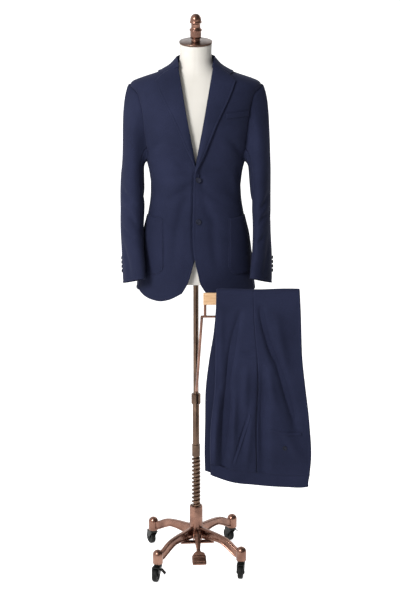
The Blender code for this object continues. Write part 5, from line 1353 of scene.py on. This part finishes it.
def wheel(name):
    """A caster wheel: a rubber tread with two grooves, on a hub with a raised boss."""
    low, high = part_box(f"caster_wheel_{name}")
    centre = (Vector(low) + Vector(high)) / 2
    joint = next(j for j in frame["joints"] if j["name"] == f"roll_{name}")
    axis = Vector(joint["axis"])
    matrix = Matrix.Translation(centre - POLE) @ axis.to_track_quat("Z", "X").to_matrix().to_4x4()
    w, r = WHEEL_HALF_WIDTH, WHEEL_RADIUS
    half = [(0.0010, w - 0.0004), (0.0042, w - 0.0004), (0.0050, w - 0.0016), (0.0130, w - 0.0024),
            (0.0142, w - 0.0006), (r - 0.0034, w), (r - 0.0014, w - 0.0010), (r - 0.0003, w - 0.0026),
            (r, w - 0.0040),
            (r, 0.0030), (r - 0.0007, 0.0026), (r - 0.0007, 0.0020), (r, 0.0016)]
    profile = half + [(radius, -z) for radius, z in reversed(half)]
    turned(f"caster_wheel_{name}", profile, RUBBER, f"wheel_{name}", 64, matrix=matrix)


def pedal_ribs():
    """Fine ribs across the foot plate, lying on its top."""
    node = NODES["foot_pedal"]
    corners = np.array([node.matrix_world @ v.co for v in node.data.vertices])
    centre = np.array((POLE.x, POLE.y, 0.0))
    flat = corners - centre
    far = flat[flat[:, 1] < flat[:, 1].min() + 0.040]
    top = far[:, 2].max()
    front, back = far[:, 1].min() + 0.010, far[:, 1].min() + 0.040
    middle_x = 0.5 * (far[:, 0].min() + far[:, 0].max())
    half = 0.5 * (far[:, 0].max() - far[:, 0].min())
    rows = []
    for k in range(PEDAL_RIBS):
        y = front + (back - front) * k / (PEDAL_RIBS - 1)
        near = far[np.abs(far[:, 1] - y) < 0.012]
        height = near[:, 2].max() if len(near) else top
        reach = half * (0.84 - 0.22 * (k / (PEDAL_RIBS - 1)) ** 3)
        z = height - 0.0002
        rows.append(rod((middle_x - reach, y, z), (middle_x + reach, y, z), 0.0011, 10))
    place("pedal_ribs", joined_mesh("pedal_ribs", rows), COPPER, "pedal")


def base():
    hub()
    for name, degrees in ARM_ANGLES.items():
        arm(name, degrees)
        wheel(name)
        show_cad(NYLON, f"caster_fork_{name}")
    pedal_ribs()
    show_cad(NYLON, "brake_lever_front_right", "brake_lever_rear_left")
    show_cad(COPPER, "cross_plate", "pedal_bracket", "foot_pedal")


# ---------------------------------------------------------------- studio
def studio():
    """A seamless pale sweep, a soft key from the front left, and a darker room behind the camera."""
    flat = [(y, 0.0) for y in np.linspace(-9.0, 8.4, 16)]
    turn = np.linspace(0.0, 0.5 * math.pi, 24)[1:]
    sweep = flat + [(8.4 + 1.6 * math.sin(a), 1.6 - 1.6 * math.cos(a)) for a in turn] + [(10.0, 9.0)]
    grid = np.array([[(x, y, z - 0.0005) for x in (-9.0, 9.0)] for y, z in sweep])
    mesh = mesh_of("floor", grid.reshape(-1, 3), grid_quads(len(sweep), 2))
    mesh.shade_smooth()
    made, shader = new_material("pale_floor", 0.8)
    shader.inputs["Base Color"].default_value = (0.86, 0.86, 0.86, 1.0)
    shader.inputs["Emission Color"].default_value = (1.0, 1.0, 1.0, 1.0)
    nodes, links = nodes_of(made)
    seen = nodes.new("ShaderNodeMapRange")
    seen.inputs["To Min"].default_value, seen.inputs["To Max"].default_value = 0.10, 0.85
    path = nodes.new("ShaderNodeLightPath")
    mirrored = nodes.new("ShaderNodeMath")
    mirrored.operation = "MULTIPLY_ADD"
    mirrored.inputs[1].default_value = 0.7
    links.new(path.outputs["Is Glossy Ray"], mirrored.inputs[0])
    links.new(path.outputs["Is Camera Ray"], mirrored.inputs[2])
    links.new(mirrored.outputs["Value"], seen.inputs["Value"])
    links.new(seen.outputs["Result"], shader.inputs["Emission Strength"])
    mesh.materials.append(made)
    floor = bpy.data.objects.new("floor", mesh)
    bpy.context.scene.collection.objects.link(floor)
    world = bpy.data.worlds.new("studio")
    world.use_nodes = True
    nodes, links = world.node_tree.nodes, world.node_tree.links
    split = nodes.new("ShaderNodeSeparateXYZ")
    links.new(nodes.new("ShaderNodeTexCoord").outputs["Generated"], split.inputs["Vector"])
    both = nodes.new("ShaderNodeMath")
    both.operation = "MULTIPLY"
    spans = (("X", (-0.9, 0.7), (1.00, 0.16)), ("Y", (-1.0, -0.70), (0.10, 1.0)))
    for slot, (axis, span, strength) in enumerate(spans):
        reach = nodes.new("ShaderNodeMapRange")
        reach.interpolation_type = "SMOOTHSTEP"
        reach.inputs["From Min"].default_value, reach.inputs["From Max"].default_value = span
        reach.inputs["To Min"].default_value, reach.inputs["To Max"].default_value = strength
        links.new(split.outputs[axis], reach.inputs["Value"])
        links.new(reach.outputs["Result"], both.inputs[slot])
    pale = nodes.new("ShaderNodeMath")
    pale.operation = "MAXIMUM"
    links.new(both.outputs["Value"], pale.inputs[0])
    links.new(nodes.new("ShaderNodeLightPath").outputs["Is Camera Ray"], pale.inputs[1])
    links.new(pale.outputs["Value"], nodes["Background"].inputs["Strength"])
    nodes["Background"].inputs["Color"].default_value = (1.0, 1.0, 1.0, 1.0)
    bpy.context.scene.world = world
    lamps = (
        ("key", (-1.7, -2.5, 2.6), 1.0, 95.0),
        ("rim", (1.6, 1.8, 2.6), 1.2, 7.0),
        ("front", (0.0, -4.3, 2.3), 0.7, 5.0),
    )
    for name, place_at, size, power in lamps:
        light = bpy.data.lights.new(name, "AREA")
        light.size, light.energy = size, power
        lamp = bpy.data.objects.new(name, light)
        lamp.location = place_at
        lamp.rotation_euler = (Vector((0.0, 0.0, 1.1)) - Vector(place_at)).to_track_quat("-Z", "Y").to_euler()
        bpy.context.scene.collection.objects.link(lamp)


def camera():
    data = bpy.data.cameras.new("camera")
    data.lens, data.sensor_width = 78.46, 36.0
    made = bpy.data.objects.new("camera", data)
    made.location = POLE + Vector((0.0128, -4.0, 1.848))
    made.rotation_euler = (math.radians(90.0 - 13.57), 0.0, 0.0)
    bpy.context.scene.collection.objects.link(made)
    bpy.context.scene.camera = made
    bpy.context.scene.view_settings.view_transform = "Standard"


camera()
studio()
for which in (LEFT, RIGHT):
    front_panel(which)
    side_panel(which)
    back_panel(which)
    lapel(which)
    sleeves(which)
    patch_pocket(which)
collar()
breast_welt()
jacket_buttons()
body_stitches()
trousers()
dress_form()
cap_and_finial()
poles()
bar_and_brace()
base()
